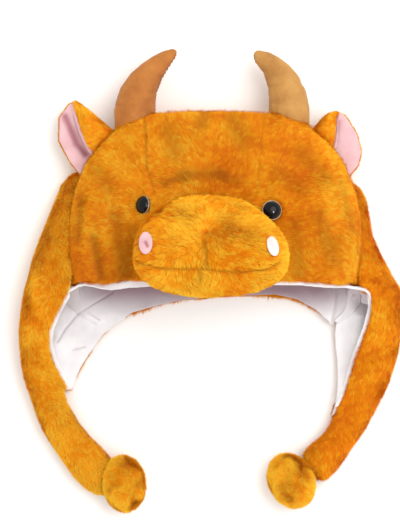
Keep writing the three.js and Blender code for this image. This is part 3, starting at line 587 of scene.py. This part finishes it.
# %% Where the tufts stand
growth = Tree("grow_pile")
growth.socket("Geometry", "Geometry")
for name, value in (
    ("Tufts per square metre", 900000.0),
    ("Length", 0.006),
    ("Width", 0.0006),
    ("Lean", 1.6),
    ("Clump", 0.55),
    ("Clump size", 0.006),
    ("Stray", 0.3),
):
    growth.socket(name, "Float").default_value = value
growth.socket("Seed", "Int")
growth.socket("Finish", "Material")
growth.socket("Geometry", "Geometry", "OUTPUT")
given = growth.add("NodeGroupInput").outputs

density = growth.maths("MULTIPLY", given["Tufts per square metre"], growth.attribute("free"))
spread = growth.add(
    "GeometryNodeDistributePointsOnFaces",
    {"Mesh": given["Geometry"], "Density": density, "Seed": given["Seed"]},
)
here = growth.add("GeometryNodeInputPosition").outputs[0]
per_metre = growth.maths("DIVIDE", 1.0, given["Clump size"])
clumps = growth.add("ShaderNodeTexVoronoi", {"Vector": here, "Scale": per_metre})
print("inputs:", [item.name for item in growth.group.interface.items_tree])

# %% [markdown]
# A tuft stands out of the cloth, leans along its combing, draws towards its clump and strays a little. Each
# of these could turn the tuft in a step of its own, but adding them as vectors gives the same mix with
# fewer nodes. The tuft's flat side is then turned to face outwards, where it is seen.

# %% How each tuft leans
jitter = growth.add(
    "FunctionNodeRandomValue",
    {0: (-1, -1, -1), 1: (1, 1, 1), "Seed": 11},
    data_type="FLOAT_VECTOR",
).outputs[0]
outward = growth.attribute("outward", "FLOAT_VECTOR")
to_clump = growth.vectors("SUBTRACT", clumps.outputs["Position"], here)
gather = growth.scaled(to_clump, growth.maths("DIVIDE", given["Clump"], given["Length"]))
lean = growth.scaled(growth.attribute("comb", "FLOAT_VECTOR"), given["Lean"])
stray = growth.scaled(jitter, given["Stray"])
combed_out = growth.vectors("ADD", outward, lean)
tangled = growth.vectors("ADD", gather, stray)
way = growth.vectors("ADD", combed_out, tangled)
along = growth.add("FunctionNodeAlignRotationToVector", {"Vector": way}, axis="Z")
facing = growth.vectors("ADD", outward, growth.scaled(jitter, 0.6))
turn = growth.add(
    "FunctionNodeAlignRotationToVector",
    {"Rotation": along.outputs[0], "Vector": facing},
    axis="X",
    pivot_axis="Z",
)
print("nodes so far:", len(growth.group.nodes))

# %% [markdown]
# A real fibre is thinner than anything that shows at this size, so one blade stands for a lock of them. A
# cone would need a dozen triangles. A single triangle, wide at its foot and pointed at its tip, looks the
# same from a metre away. Its tip attribute runs from 0 at the foot to 1 at the point.

# %% One blade of pile
POINT_OF_BLADE = 2.0
triangle = growth.add("GeometryNodeMeshCircle", {"Vertices": 3}, fill_type="NGON")
corner = growth.add("GeometryNodeInputIndex").outputs[0]
is_tip = growth.maths("COMPARE", corner, POINT_OF_BLADE)
is_foot = growth.maths("SUBTRACT", 1.0, is_tip)
across = growth.maths("MULTIPLY", growth.maths("SUBTRACT", corner, 0.5), is_foot)
spot = growth.add("ShaderNodeCombineXYZ", {0: 0.0, 1: across, 2: is_tip})
shaped = growth.add(
    "GeometryNodeSetPosition",
    {"Geometry": triangle.outputs[0], "Position": spot.outputs[0]},
)
blade = growth.kept(shaped.outputs[0], "tip", is_tip)

full_length = growth.maths("MULTIPLY", given["Length"], growth.attribute("grown"))
long = growth.maths("MULTIPLY", full_length, growth.chance(0.7, 1.15, 23))
wide = growth.maths("MULTIPLY", given["Width"], growth.chance(0.7, 1.3, 29))
size = growth.add("ShaderNodeCombineXYZ", {0: wide, 1: wide, 2: long})
print("nodes so far:", len(growth.group.nodes))

# %% [markdown]
# Last, every point gets its blade, and each blade its tone from the cloth's cloudiness, its clump and
# chance. Instances would be lighter, but the exported model drops them. So they are made real, joined with
# the smooth skin under them, and given their finish.

# %% The grown cloth
own_shade = growth.add("FunctionNodeSeparateColor", {0: clumps.outputs["Color"]}).outputs[0]
by_clump = growth.maths("MULTIPLY", own_shade, 0.62)
# the cloud attribute also carries a piece's painted light, which shifts its whole pile lighter or darker
by_cloud = growth.maths("MULTIPLY", growth.attribute("cloud"), 0.5)
tone = growth.maths("ADD", by_cloud, growth.maths("ADD", by_clump, growth.chance(-0.13, 0.21, 31)))
toned = growth.kept(spread.outputs["Points"], "tone", tone)
placed = growth.add(
    "GeometryNodeInstanceOnPoints",
    {"Points": toned, "Instance": blade, "Rotation": turn.outputs[0], "Scale": size.outputs[0]},
)
real = growth.add("GeometryNodeRealizeInstances", {0: placed.outputs[0]})
skin = growth.add("GeometryNodeSetShadeSmooth", {"Geometry": given["Geometry"]})
skin = growth.kept(growth.kept(skin.outputs[0], "tip", 0.35), "tone", 0.3)
both = growth.add("GeometryNodeJoinGeometry", {0: skin})
growth.group.links.new(real.outputs[0], both.inputs[0])
finish = growth.add("GeometryNodeSetMaterial", {"Geometry": both.outputs[0], "Material": given["Finish"]})
growth.add("NodeGroupOutput", {0: finish.outputs[0]})
print("pile tree:", len(growth.group.nodes), "nodes")

# %% [markdown]
# Pile is grown on a piece by a modifier that holds the tree. A modifier could stay live, but later steps
# measure real meshes. So its inputs are set by the identifiers of their sockets, and the result becomes the
# piece's own mesh.

# %% Growing pile on a piece
def socket_id(tree, name):
    return next(i.identifier for i in tree.interface.items_tree if i.name == name and i.in_out == "INPUT")


def grow(piece, tufts, length, width, lean, clump, clump_size, stray, seed):
    modifier = piece.modifiers.new("pile", "NODES")
    modifier.node_group = growth.group
    for name, value in (
        ("Tufts per square metre", tufts / (MM * MM)),
        ("Length", length * MM),
        ("Width", width * MM),
        ("Lean", lean),
        ("Clump", clump),
        ("Clump size", clump_size * MM),
        ("Stray", stray),
        ("Seed", seed),
        ("Finish", pile.material),
    ):
        modifier[socket_id(growth.group, name)] = value
    settle(piece)
    print(piece.name, "triangles:", sum(len(p.vertices) - 2 for p in piece.data.polygons))


print("growing ready")

# %% [markdown]
# A plush piece is its soft copy, drawn in by part of the pile's height, dented by folds and seams, and
# grown with pile. Written out for each piece, the same steps would hide the few numbers that differ. So one
# function takes those numbers. No point is drawn in further than the cloth allows, so the lining never
# shows through.

# %% Dressing a plush piece
MOST_SUNK = 4.0 * MM
# how far the cloth is drawn in at each of these places, in mm
SEAM_DIP = 1.3
BEHIND_LINING = 0.6
AGAINST_PANEL = -1.4
TURNED_IN = 2.4
# how much painted shade darkens the pile there, from 0 to 1
SEAM_PAINTED_SHADE = 0.7
COVERED_PAINTED_SHADE = 0.6
FOLD_PAINTED_SHADE = 0.45


def dress(solids, name, seed, way, cell=2.2, smooth=8, sink=1.5, seams=(), folds=False, tufts=3.0,
          length=4.4, width=0.6, lean=1.5, clump=0.45, clump_size=3.6, stray=0.28, ruffle=0.5, painted_light_shift=0.0,
          least_painted_shade=0.0, turned_in=None):
    """A plush piece. Lengths are in mm and tufts are per square mm."""
    piece = soft_copy(solids, name, cell * MM, smooth)
    mesh = piece.data
    points, normals = points_of(mesh), normals_of(mesh)
    free, lined = bare_share(points, normals, solids)
    hidden = 1 - free
    seam = parted(points, seams) if seams else np.zeros(len(points))
    seam *= np.clip(normals[:, 2] * 3, 0, 1)
    covered = np.where(lined > 0, BEHIND_LINING, AGAINST_PANEL)
    drop = (sink * free + SEAM_DIP * seam + hidden * covered) * MM
    if folds:
        drop += folded(points) * free * np.clip(normals[:, 2], 0, 1)
    if turned_in is not None:
        edge = turned_in(points, normals)
        drop += TURNED_IN * edge * MM
        free *= 1 - edge
    points = points - normals * np.minimum(drop, MOST_SUNK)[:, None]
    points[:, 2] = np.maximum(points[:, 2], 0.2 * MM)
    put_points(mesh, points)
    put_numbers(mesh, "free", free)
    put_numbers(mesh, "grown", 1 - 0.55 * seam)
    # Painted shade: the pile is darkened on seams, on cloth covered by another piece and in folds, and a
    # folded piece can be darkened all over as well.
    shaded = np.maximum(SEAM_PAINTED_SHADE * seam, COVERED_PAINTED_SHADE * hidden)
    if folds:
        shaded = np.maximum(shaded, least_painted_shade + FOLD_PAINTED_SHADE * np.clip(folded(points) / MOST_SUNK, 0, 1))
    put_numbers(mesh, "painted_shade", shaded)
    # Painted light: besides its random cloudiness, the cloud attribute carries a whole piece's shift
    # lighter or darker.
    put_numbers(mesh, "cloud", cloudiness(points, seed=seed) + painted_light_shift)
    put_vectors(mesh, "outward", normals)
    put_vectors(mesh, "comb", combed(points, normals, way, ruffle, seed=seed))
    grow(piece, tufts, length, width, lean, clump, clump_size, stray, seed)
    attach(piece, "root")
    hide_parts(*solids)
    return piece


def few(full):
    """The full number of tufts, passed on unchanged."""
    return full


print("dressing ready, no point is drawn in by more than", MOST_SUNK / MM, "mm")

# %% [markdown]
# The crown is three plush panels over the face and one behind. Pile combed one way would lie uphill on one
# side and look dark there. So it is combed outwards from a middle that the muzzle hides, and lies downhill
# all round. Along the nape the white lining comes to the edge, so there the plush is turned in and bears no
# pile.

# %% Crown
def nape_edge(points, normals):
    """1 low on the crown's edge over the nape, between its two corners."""
    low = np.clip((15 * MM - points[:, 2]) / (4 * MM), 0, 1)
    across = points[:, 0] / MM
    middle = np.clip((across + 60) / 8, 0, 1) * np.clip((62 - across) / 8, 0, 1)
    return np.clip((-normals[:, 1] - 0.2) * 2, 0, 1) * low * middle


crown_front = dress(
    ("crown_forehead", "crown_left", "crown_right"),
    "plush_crown_front",
    seed=1,
    way=away_from(-2, 66),
    cell=2.0,
    smooth=6,
    seams=("forehead_left", "forehead_right"),
    folds=True,
    tufts=few(2.9),
    # painted light and shade: the crown front's whole pile is painted darker
    painted_light_shift=-0.4,
    least_painted_shade=0.12,
)
crown_back = dress(
    ("crown_back",),
    "plush_crown_back",
    seed=4,
    way=(0, -1, 0.2),
    cell=3.0,
    tufts=few(1.5),
    turned_in=nape_edge,
)

# %% [markdown]
# The muzzle is a stuffed pillow in two halves that meet at the mouth. It could be two pieces, but pile that
# crosses the seam hides it better. Its longer pile fans out from the middle of the nose. The mouth seam
# draws the cloth in, and short seams run up the middle of the nose and down the lip.

# %% Muzzle
muzzle = dress(
    ("muzzle", "muzzle_lip"),
    "plush_muzzle",
    seed=5,
    way=away_from(-4, 46),
    seams=("mouth", "nose", "lip"),
    folds=True,
    smooth=6,
    tufts=few(4.0),
    length=5.0,
    clump=0.6,
    clump_size=4.6,
    # painted light: the muzzle's pile is painted a little lighter
    painted_light_shift=0.2,
    ruffle=0.6,
)

# %% [markdown]
# The ears are thin, so their cloth is drawn in less and their pile is short, and the pompoms are ruffled
# balls. All of them are dressed like the crown, because they are the same cloth. A flap's edge beside the
# neck shows the white lining, so there the plush is turned in, apart from a short stretch on the left where
# a sliver of it peeps out.

# %% Ears, flaps and pompoms in pile
def neck_edge(toward, peep=(0, 0)):
    """1 low on the edge of a flap that faces the neck, which is towards +X or -X."""
    def share(points, normals):
        low = np.clip((14 * MM - points[:, 2]) / (4 * MM), 0, 1)
        along = points[:, 1] / MM
        open_part = np.clip((along + 118) / 8, 0, 1)
        peeping = np.clip((along - peep[0]) / 6, 0, 1) * np.clip((peep[1] - along) / 6, 0, 1)
        return np.clip((normals[:, 0] * toward - 0.2) * 2, 0, 1) * low * open_part * (1 - 0.7 * peeping)

    return share


EAR = {"cell": 1.2, "smooth": 3, "sink": 0.7, "tufts": few(4.5), "length": 3.2, "lean": 2.2}
POMPOM = {"tufts": few(5.0), "sink": 2.4, "ruffle": 1.4, "lean": 1.3}
ear_left = dress(("ear_left",), "plush_ear_left", seed=7, way=(-0.6, 1, 0), **EAR)
ear_right = dress(("ear_right",), "plush_ear_right", seed=8, way=(0.4, 1, 0), **EAR)
# painted light: the left flap's pile is painted lighter and the right flap's darker
earflap_left = dress(("earflap_left",), "plush_earflap_left", seed=9, way=(0.2, -1, 0), tufts=few(2.9),
                     painted_light_shift=0.45, turned_in=neck_edge(1, (-92, -62)))
earflap_right = dress(("earflap_right",), "plush_earflap_right", seed=10, way=(-0.2, -1, 0), tufts=few(2.9),
                      painted_light_shift=-0.45, turned_in=neck_edge(-1))
# painted light: the pompoms' pile is painted lighter against their own shade
pompom_left = dress(("pompom_left",), "plush_pompom_left", seed=11, way=(0, -1, 0), painted_light_shift=0.6, **POMPOM)
pompom_right = dress(("pompom_right",), "plush_pompom_right", seed=12, way=(0, -1, 0), painted_light_shift=0.5, **POMPOM)

# %% [markdown]
# Linings, pink cloth and horns have no visible pile, so their smoothed copies carry the finish directly.
# Thin cloth needs small cells to keep both of its faces, which makes far more of them than such calm shapes
# need. Larger cells would tear holes, so the small ones are merged again once the cloth is shaped.

# %% Bare cloth
def bare(solids, name, finish, slot, cell=1.5, smooth=6, keep=None, shape=None, sewn_on=None,
         **numbers):
    piece = soft_copy(solids, name, cell * MM, smooth, sewn_on)
    mesh = piece.data
    points, normals = points_of(mesh), normals_of(mesh)
    for number, measure in numbers.items():
        put_numbers(mesh, number, measure(points))
    if shape is not None:
        put_points(mesh, shape(points, normals))
    if keep is not None:
        merge = piece.modifiers.new("merge_cells", "DECIMATE")
        merge.ratio = keep
        mesh = settle(piece)
    mesh.materials.clear()
    mesh.materials.append(finish.material)
    for polygon in mesh.polygons:
        polygon.use_smooth = True
    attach(piece, "root")
    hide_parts(*solids)
    print(piece.name, "triangles:", sum(len(p.vertices) - 2 for p in mesh.polygons))
    return piece


def one_side(piece):
    """The area of one side of a thin cloth, in square metres."""
    return sum(polygon.area for polygon in piece.data.polygons) / 2


def near_line(line, reach, most=1.0):
    """A measure that is most on a line and fades beside it."""
    return lambda points: most * np.exp(-((distance_to_line(points[:, :2] / MM, line) / reach) ** 2))


print("bare cloth helper ready")

# %% [markdown]
# Each horn is a stuffed tube, closed by a seam along its inner side. The seam pulls the cloth into small
# puckers, and the horn's bend lays a few soft wrinkles across it. Bump alone would leave the outline
# smooth, so both are dips in the surface: the puckers repeat along the seam, and each wrinkle is a short
# line.

# %% Horns
INNER_SEAM = {
    "left": [(-48.5, 156), (-50.0, 172), (-46.5, 187), (-40.5, 198), (-33.5, 208), (-30.5, 214)],
    "right": [(53.0, 158), (53.5, 173), (50.5, 187), (45.0, 198), (40.5, 206), (40.0, 212)],
}
PUCKER = 3.4
WRINKLES = {
    "left": [
        ((-90, 166), (-72, 162)),
        ((-64, 176), (-50, 178)),
        ((-80, 184), (-66, 180)),
        ((-58, 196), (-46, 192)),
    ],
    "right": [
        ((55, 183), (74, 185)),
        ((74, 185), (87, 187)),
        ((60, 168), (78, 165)),
        ((62, 203), (50, 197)),
    ],
}


def horn_shape(side):
    def shape(points, normals):
        seam = near_line(INNER_SEAM[side], 2.6)(points)
        pucker = 0.5 + 0.5 * np.sin(points[:, 1] / MM * 2 * math.pi / PUCKER + points[:, 2] / MM * 0.4)
        dip = seam * (0.5 + 0.9 * pucker)
        for start, end in WRINKLES[side]:
            dip += 0.75 * near_line([start, end], 2.2)(points)
        return points - normals * (dip * MM)[:, None]

    return shape


# each horn gets painted shade along its inner seam, and the right one painted light
for side in ("left", "right"):
    horn = bare(("horn_" + side,), "suede_horn_" + side, suede, "suede", cell=1.3, smooth=10,
                shape=horn_shape(side), seam=near_line(INNER_SEAM[side], 1.5, 0.75),
                pale=lambda points: [side == "right"] * len(points))

# %% [markdown]
# The lining is one white cloth over the crown's inside and the flaps. Where the crown's opening meets a
# flap the solids leave a corner between two linings, which the real cloth bridges. A separate patch would
# show its edge. So a strip is laid over each corner and a rolled edge along its rim, as rows of simple
# blocks between two lines, which the even cells melt into the cloth.

# %% Corners of the lining
LEFT_CORNER = (
    [(-123, -3, 42), (-124, -8, 26), (-124, -12, 19), (-122, -17, 18), (-120, -23, 16), (-117, -29, 14),
     (-111, -33, 13), (-104, -37, 12)],
    [(-132, -4, 38), (-136, -9, 26), (-139, -14, 16), (-137, -20, 10), (-131, -26, 9.5), (-125, -31, 9.5),
     (-117, -36, 9.5), (-107, -41, 9.5)],
)
RIGHT_CORNER = (
    [(128, -4, 44), (130, -8, 26), (130, -12, 18), (130, -18, 17), (129, -24, 16), (126, -29, 15),
     (122, -33, 14), (118, -37, 13)],
    [(142, -4, 44), (146, -8, 30), (147, -13, 16), (145, -19, 10), (141, -24, 9.5), (137, -29, 9.5),
     (131, -34, 9.5), (122, -40, 9.5)],
)
RIGHT_WALL = (
    [(140, -4, 44), (142, -8, 32), (143, -13, 21), (143, -20, 13)],
    [(146, -5, 48), (150, -9, 47), (151, -15, 44), (150, -22, 38)],
)
ROLLED_EDGES = (
    [(-91, -4, 63), (-103, -4, 58), (-110, -3, 54), (-117, -2, 50), (-123, -3, 45), (-128, -6, 43),
     (-132, -8, 44), (-137, -14, 44), (-141, -21, 43)],
    [(118, -4, 55), (127, -4, 50), (133, -5, 48), (139, -6, 47), (144, -7, 48), (149, -10, 48),
     (151, -16, 44)],
)
ROLL = 1.9
CORNER_CLOTH = 2.6


def corner_pieces(bm):
    for near, far in (LEFT_CORNER, RIGHT_CORNER, RIGHT_WALL):
        for k in range(len(near) - 1):
            corners = (near[k], near[k + 1], far[k], far[k + 1])
            block = []
            for x, y, z in corners:
                for down in (0, CORNER_CLOTH):
                    block.append(bm.verts.new((x * MM, y * MM, (z - down) * MM)))
            bmesh.ops.convex_hull(bm, input=block)
    six_ways = ((1, 0, 0), (-1, 0, 0), (0, 1, 0), (0, -1, 0), (0, 0, 1), (0, 0, -1))
    around = [Vector(way) * ROLL for way in six_ways]
    for edge in ROLLED_EDGES:
        for ends in zip(edge, edge[1:]):
            block = [bm.verts.new((Vector(end) + way) * MM) for end in ends for way in around]
            bmesh.ops.convex_hull(bm, input=block)


print("rolled edges:", [len(edge) for edge in ROLLED_EDGES], "points")

# %% [markdown]
# Deep inside the crown the lining looks violet grey, since hardly any light gets there. Its slow waves lift
# it off the plush a little, and low rolls ease it up to the flaps' front edges. A curved seam and a crease
# could be bump only, but their shade would be lost from the side. So they are dips in the cloth, never so
# deep that the plush under it would show.

# %% Linings
LINING_DIPS = [
    # the line of a dip in the plan, how far it reaches and how deep it is, in mm
    ([(-93, -10), (-113, -22), (-127, -32), (-138, -45), (-145, -57)], 1.0, 1.6),
    ([(-131, -65), (-119, -62)], 0.9, 1.2),
    ([(119, -7), (118, -22), (116, -38)], 1.8, 1.6),
    ([(143, -10), (144, -35), (141, -58)], 5.0, 1.8),
    ([(-66, -3), (-62, -20)], 5.0, 1.4),
    ([(-96, -12), (-86, -26)], 6.0, 1.0),
    ([(20, -6), (34, -14)], 6.0, 1.0),
    ([(76, -4), (92, -16)], 5.0, 1.0),
]
LIFT = 1.8
HANGING_HEM = [(-98, 0), (-62, 0)]
SHARP_DIPS = LINING_DIPS[:3]
ROLLS = [
    # the line of a roll of cloth in the plan, how far it reaches and how high it is, in mm
    ([(143, -34), (141, -60), (132, -90), (124, -115)], 9.0, 8.0),
    ([(-150, -60), (-147, -75), (-141, -95), (-135, -108)], 8.0, 6.0),
]


def lining_shape(points, normals):
    """Lifts the low cloth with its waves, dips and rolls, and lets the high hem hang out a little."""
    low = np.clip((18 * MM - points[:, 2]) / (4 * MM), 0, 1)
    dip = sum(near_line(line, reach, deep)(points) for line, reach, deep in LINING_DIPS)
    dip -= sum(near_line(line, reach, high)(points) for line, reach, high in ROLLS)
    waves = np.array([noise.noise(Vector(p) * 40) for p in points])
    shift = np.zeros_like(points)
    facing_up = np.clip(normals[:, 2] + 0.3, 0, 1)
    shift[:, 2] = np.maximum(LIFT + 0.9 * waves - dip, 0.1) * low * facing_up * MM
    high = np.clip((points[:, 2] - 55 * MM) / (10 * MM), 0, 1)
    shift[:, 1] = -high * near_line(HANGING_HEM, 14, 3.2)(points) * MM
    return points + shift


def in_shade(points):
    """How much violet grey shade is painted on the lining: deep inside the crown and in its sharp dips."""
    inside = np.clip((points[:, 1] / MM + 34) / 26, 0, 1)
    near_flaps = np.clip((np.abs(points[:, 0] / MM - 4) - 100) / 30, 0, 1)
    shade = inside * (1.0 - 0.5 * near_flaps) * (points[:, 2] < 40 * MM)
    for line, reach, _ in SHARP_DIPS:
        shade = np.maximum(shade, near_line(line, 0.8 * reach, 0.35)(points))
    return shade


# painted shade: in_shade gives the violet grey that the lining's finish mixes in
white_lining = bare(("crown_lining", "earflap_lining_left", "earflap_lining_right"), "white_lining", lining,
                    "lining", cell=0.85, smooth=2, keep=0.16, shape=lining_shape, sewn_on=corner_pieces,
                    deep=in_shade)
print("flat lining:", round(one_side(white_lining), 4), "square metres")

# %% [markdown]
# Each ear is folded over, and the fold leaves a crease down its pink side. The crease is a dip, and an
# attribute over it paints mauve shade into the crease.

# %% Pink cloth of the ears
EAR_CREASE = {
    "left": [(-137, 156), (-131, 143), (-126, 131), (-117.5, 121)],
    "right": [(119, 158), (118.5, 143), (114, 128)],
}
CREASE_REACH = {"left": 3.6, "right": 2.0}


def ear_shape(side):
    def shape(points, normals):
        dip = near_line(EAR_CREASE[side], 3.0, 2.2 * MM)(points)
        return points - np.array([0, 0, 1]) * dip[:, None]

    return shape


# painted shade: the ear crease is painted mauve along its dip
for side in ("left", "right"):
    inner_ear = bare(("ear_lining_" + side,), "pink_ear_" + side, pink, "pink_cloth", cell=0.6,
                     smooth=2, keep=0.3, shape=ear_shape(side),
                     fold=near_line(EAR_CREASE[side], CREASE_REACH[side], 0.85))
    print("flat", inner_ear.name, round(one_side(inner_ear), 5), "square metres")

# %% [markdown]
# The nostrils are oval patches stitched onto the muzzle. A stitch in the middle of the left one pulls a
# small dimple, and painted shade makes it a darker pink. The right patch is narrower, leans inwards and is
# painted nearly white, because it is seen from the side and lit. Turning its points is simpler than a new
# solid.

# %% Nostril patches
NOSTRIL_STITCH = {"left": [(-58.5, 36.5), (-57.0, 33.0)], "right": [(55, 38), (56, 33)]}
NOSTRIL_LEAN = {"left": 0.0, "right": 0.26}
NOSTRIL_FIT = {"left": (1.02, 0.98), "right": (0.84, 0.9)}
# painted light: how nearly white each nostril patch is painted
NOSTRIL_PAINTED_LIGHT = {"left": 0.0, "right": 0.8}


def nostril_shape(side, depth):
    def shape(points, normals):
        middle = points.mean(0)
        lean = NOSTRIL_LEAN[side]
        x, y = ((points[:, k] - middle[k]) * NOSTRIL_FIT[side][k] for k in (0, 1))
        turned = points.copy()
        turned[:, 0] = middle[0] + x * math.cos(lean) - y * math.sin(lean)
        turned[:, 1] = middle[1] + x * math.sin(lean) + y * math.cos(lean)
        turned[:, 2] -= near_line(NOSTRIL_STITCH[side], 2.0, 1.2 * depth * MM)(points)
        return turned

    return shape


# painted shade: the left nostril's stitched dimple is painted a darker pink
for side, depth in (("left", 0.9), ("right", 0.1)):
    bare(("nostril_" + side,), "patch_nostril_" + side, pink, "pink_cloth", cell=0.5, smooth=3, keep=0.5,
         shape=nostril_shape(side, depth), fold=near_line(NOSTRIL_STITCH[side], 1.5, depth),
         pale=lambda points: [NOSTRIL_PAINTED_LIGHT[side]] * len(points))

# %% [markdown]
# The eyes are black plastic domes that sit in a thin rim, held from behind by a washer that is never seen.
# A squashed ball has no rim, so a dome is a profile turned round an axis. The solid's own axis is found
# from the spread of its points, and the left eye leans further outwards, because the cloth there is pushed
# aside by the muzzle.

# %% Eyes
TURNS = 48
EYE_PROFILE = [
    # distance from the axis and height above the eye's base, in mm, and whether it is rim
    (0.0, 2.2, False),
    (9.0, 2.2, False),
    (9.3, 3.2, False),
    (9.15, 4.0, True),
    (8.7, 4.3, True),
    (8.3, 4.1, True),
    (8.1, 3.9, False),
    (7.9, 4.8, False),
    (7.2, 6.1, False),
    (6.1, 7.1, False),
    (4.6, 7.9, False),
    (2.8, 8.5, False),
    (1.2, 8.7, False),
    (0.0, 8.75, False),
]


def turned_eye(side, lean, raised):
    solid = nodes["eye_" + side]
    cloud = points_of(solid.data).astype(float)
    middle = cloud.mean(0)
    axis = np.linalg.eigh(np.cov((cloud - middle).T))[1][:, 0]
    axis *= np.sign(axis[2])
    base = Vector(middle) + Vector(axis) * float(((cloud - middle) @ axis).min()) + Vector(raised) * MM
    tilt = (Vector(axis) + Vector(lean)).normalized().to_track_quat("Z", "Y")
    bm = bmesh.new()
    rings = []
    for radius, height, _ in EYE_PROFILE:
        if radius == 0:
            rings.append([bm.verts.new(base + tilt @ Vector((0, 0, height * MM)))])
            continue
        ring = []
        for k in range(TURNS):
            angle = 2 * math.pi * k / TURNS
            spot = Vector((radius * math.cos(angle), radius * math.sin(angle), height)) * MM
            ring.append(bm.verts.new(base + tilt @ spot))
        rings.append(ring)
    for (low, high), (_, _, rim) in zip(zip(rings, rings[1:]), EYE_PROFILE[1:]):
        for k in range(TURNS):
            below = [low[k % len(low)], low[(k + 1) % len(low)]]
            above = [high[(k + 1) % len(high)], high[k % len(high)]]
            face = bm.faces.new(list(dict.fromkeys(below + above)))
            face.material_index = 1 if rim else 0
            face.smooth = True
    bmesh.ops.recalc_face_normals(bm, faces=bm.faces)
    mesh = bpy.data.meshes.new("dome_eye_" + side)
    bm.to_mesh(mesh)
    bm.free()
    mesh.materials.append(eye_plastic.material)
    mesh.materials.append(eye_rim.material)
    eye = bpy.data.objects.new("dome_eye_" + side, mesh)
    bpy.context.scene.collection.objects.link(eye)
    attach(eye, "root")
    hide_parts("eye_" + side)
    print(eye.name, "axis", [round(float(a), 2) for a in axis])


turned_eye("left", lean=(-0.75, 0.0, 0.0), raised=(4.4, 0, -2.0))
turned_eye("right", lean=(0.0, 0.0, 0.0), raised=(0, 0, 2.0))
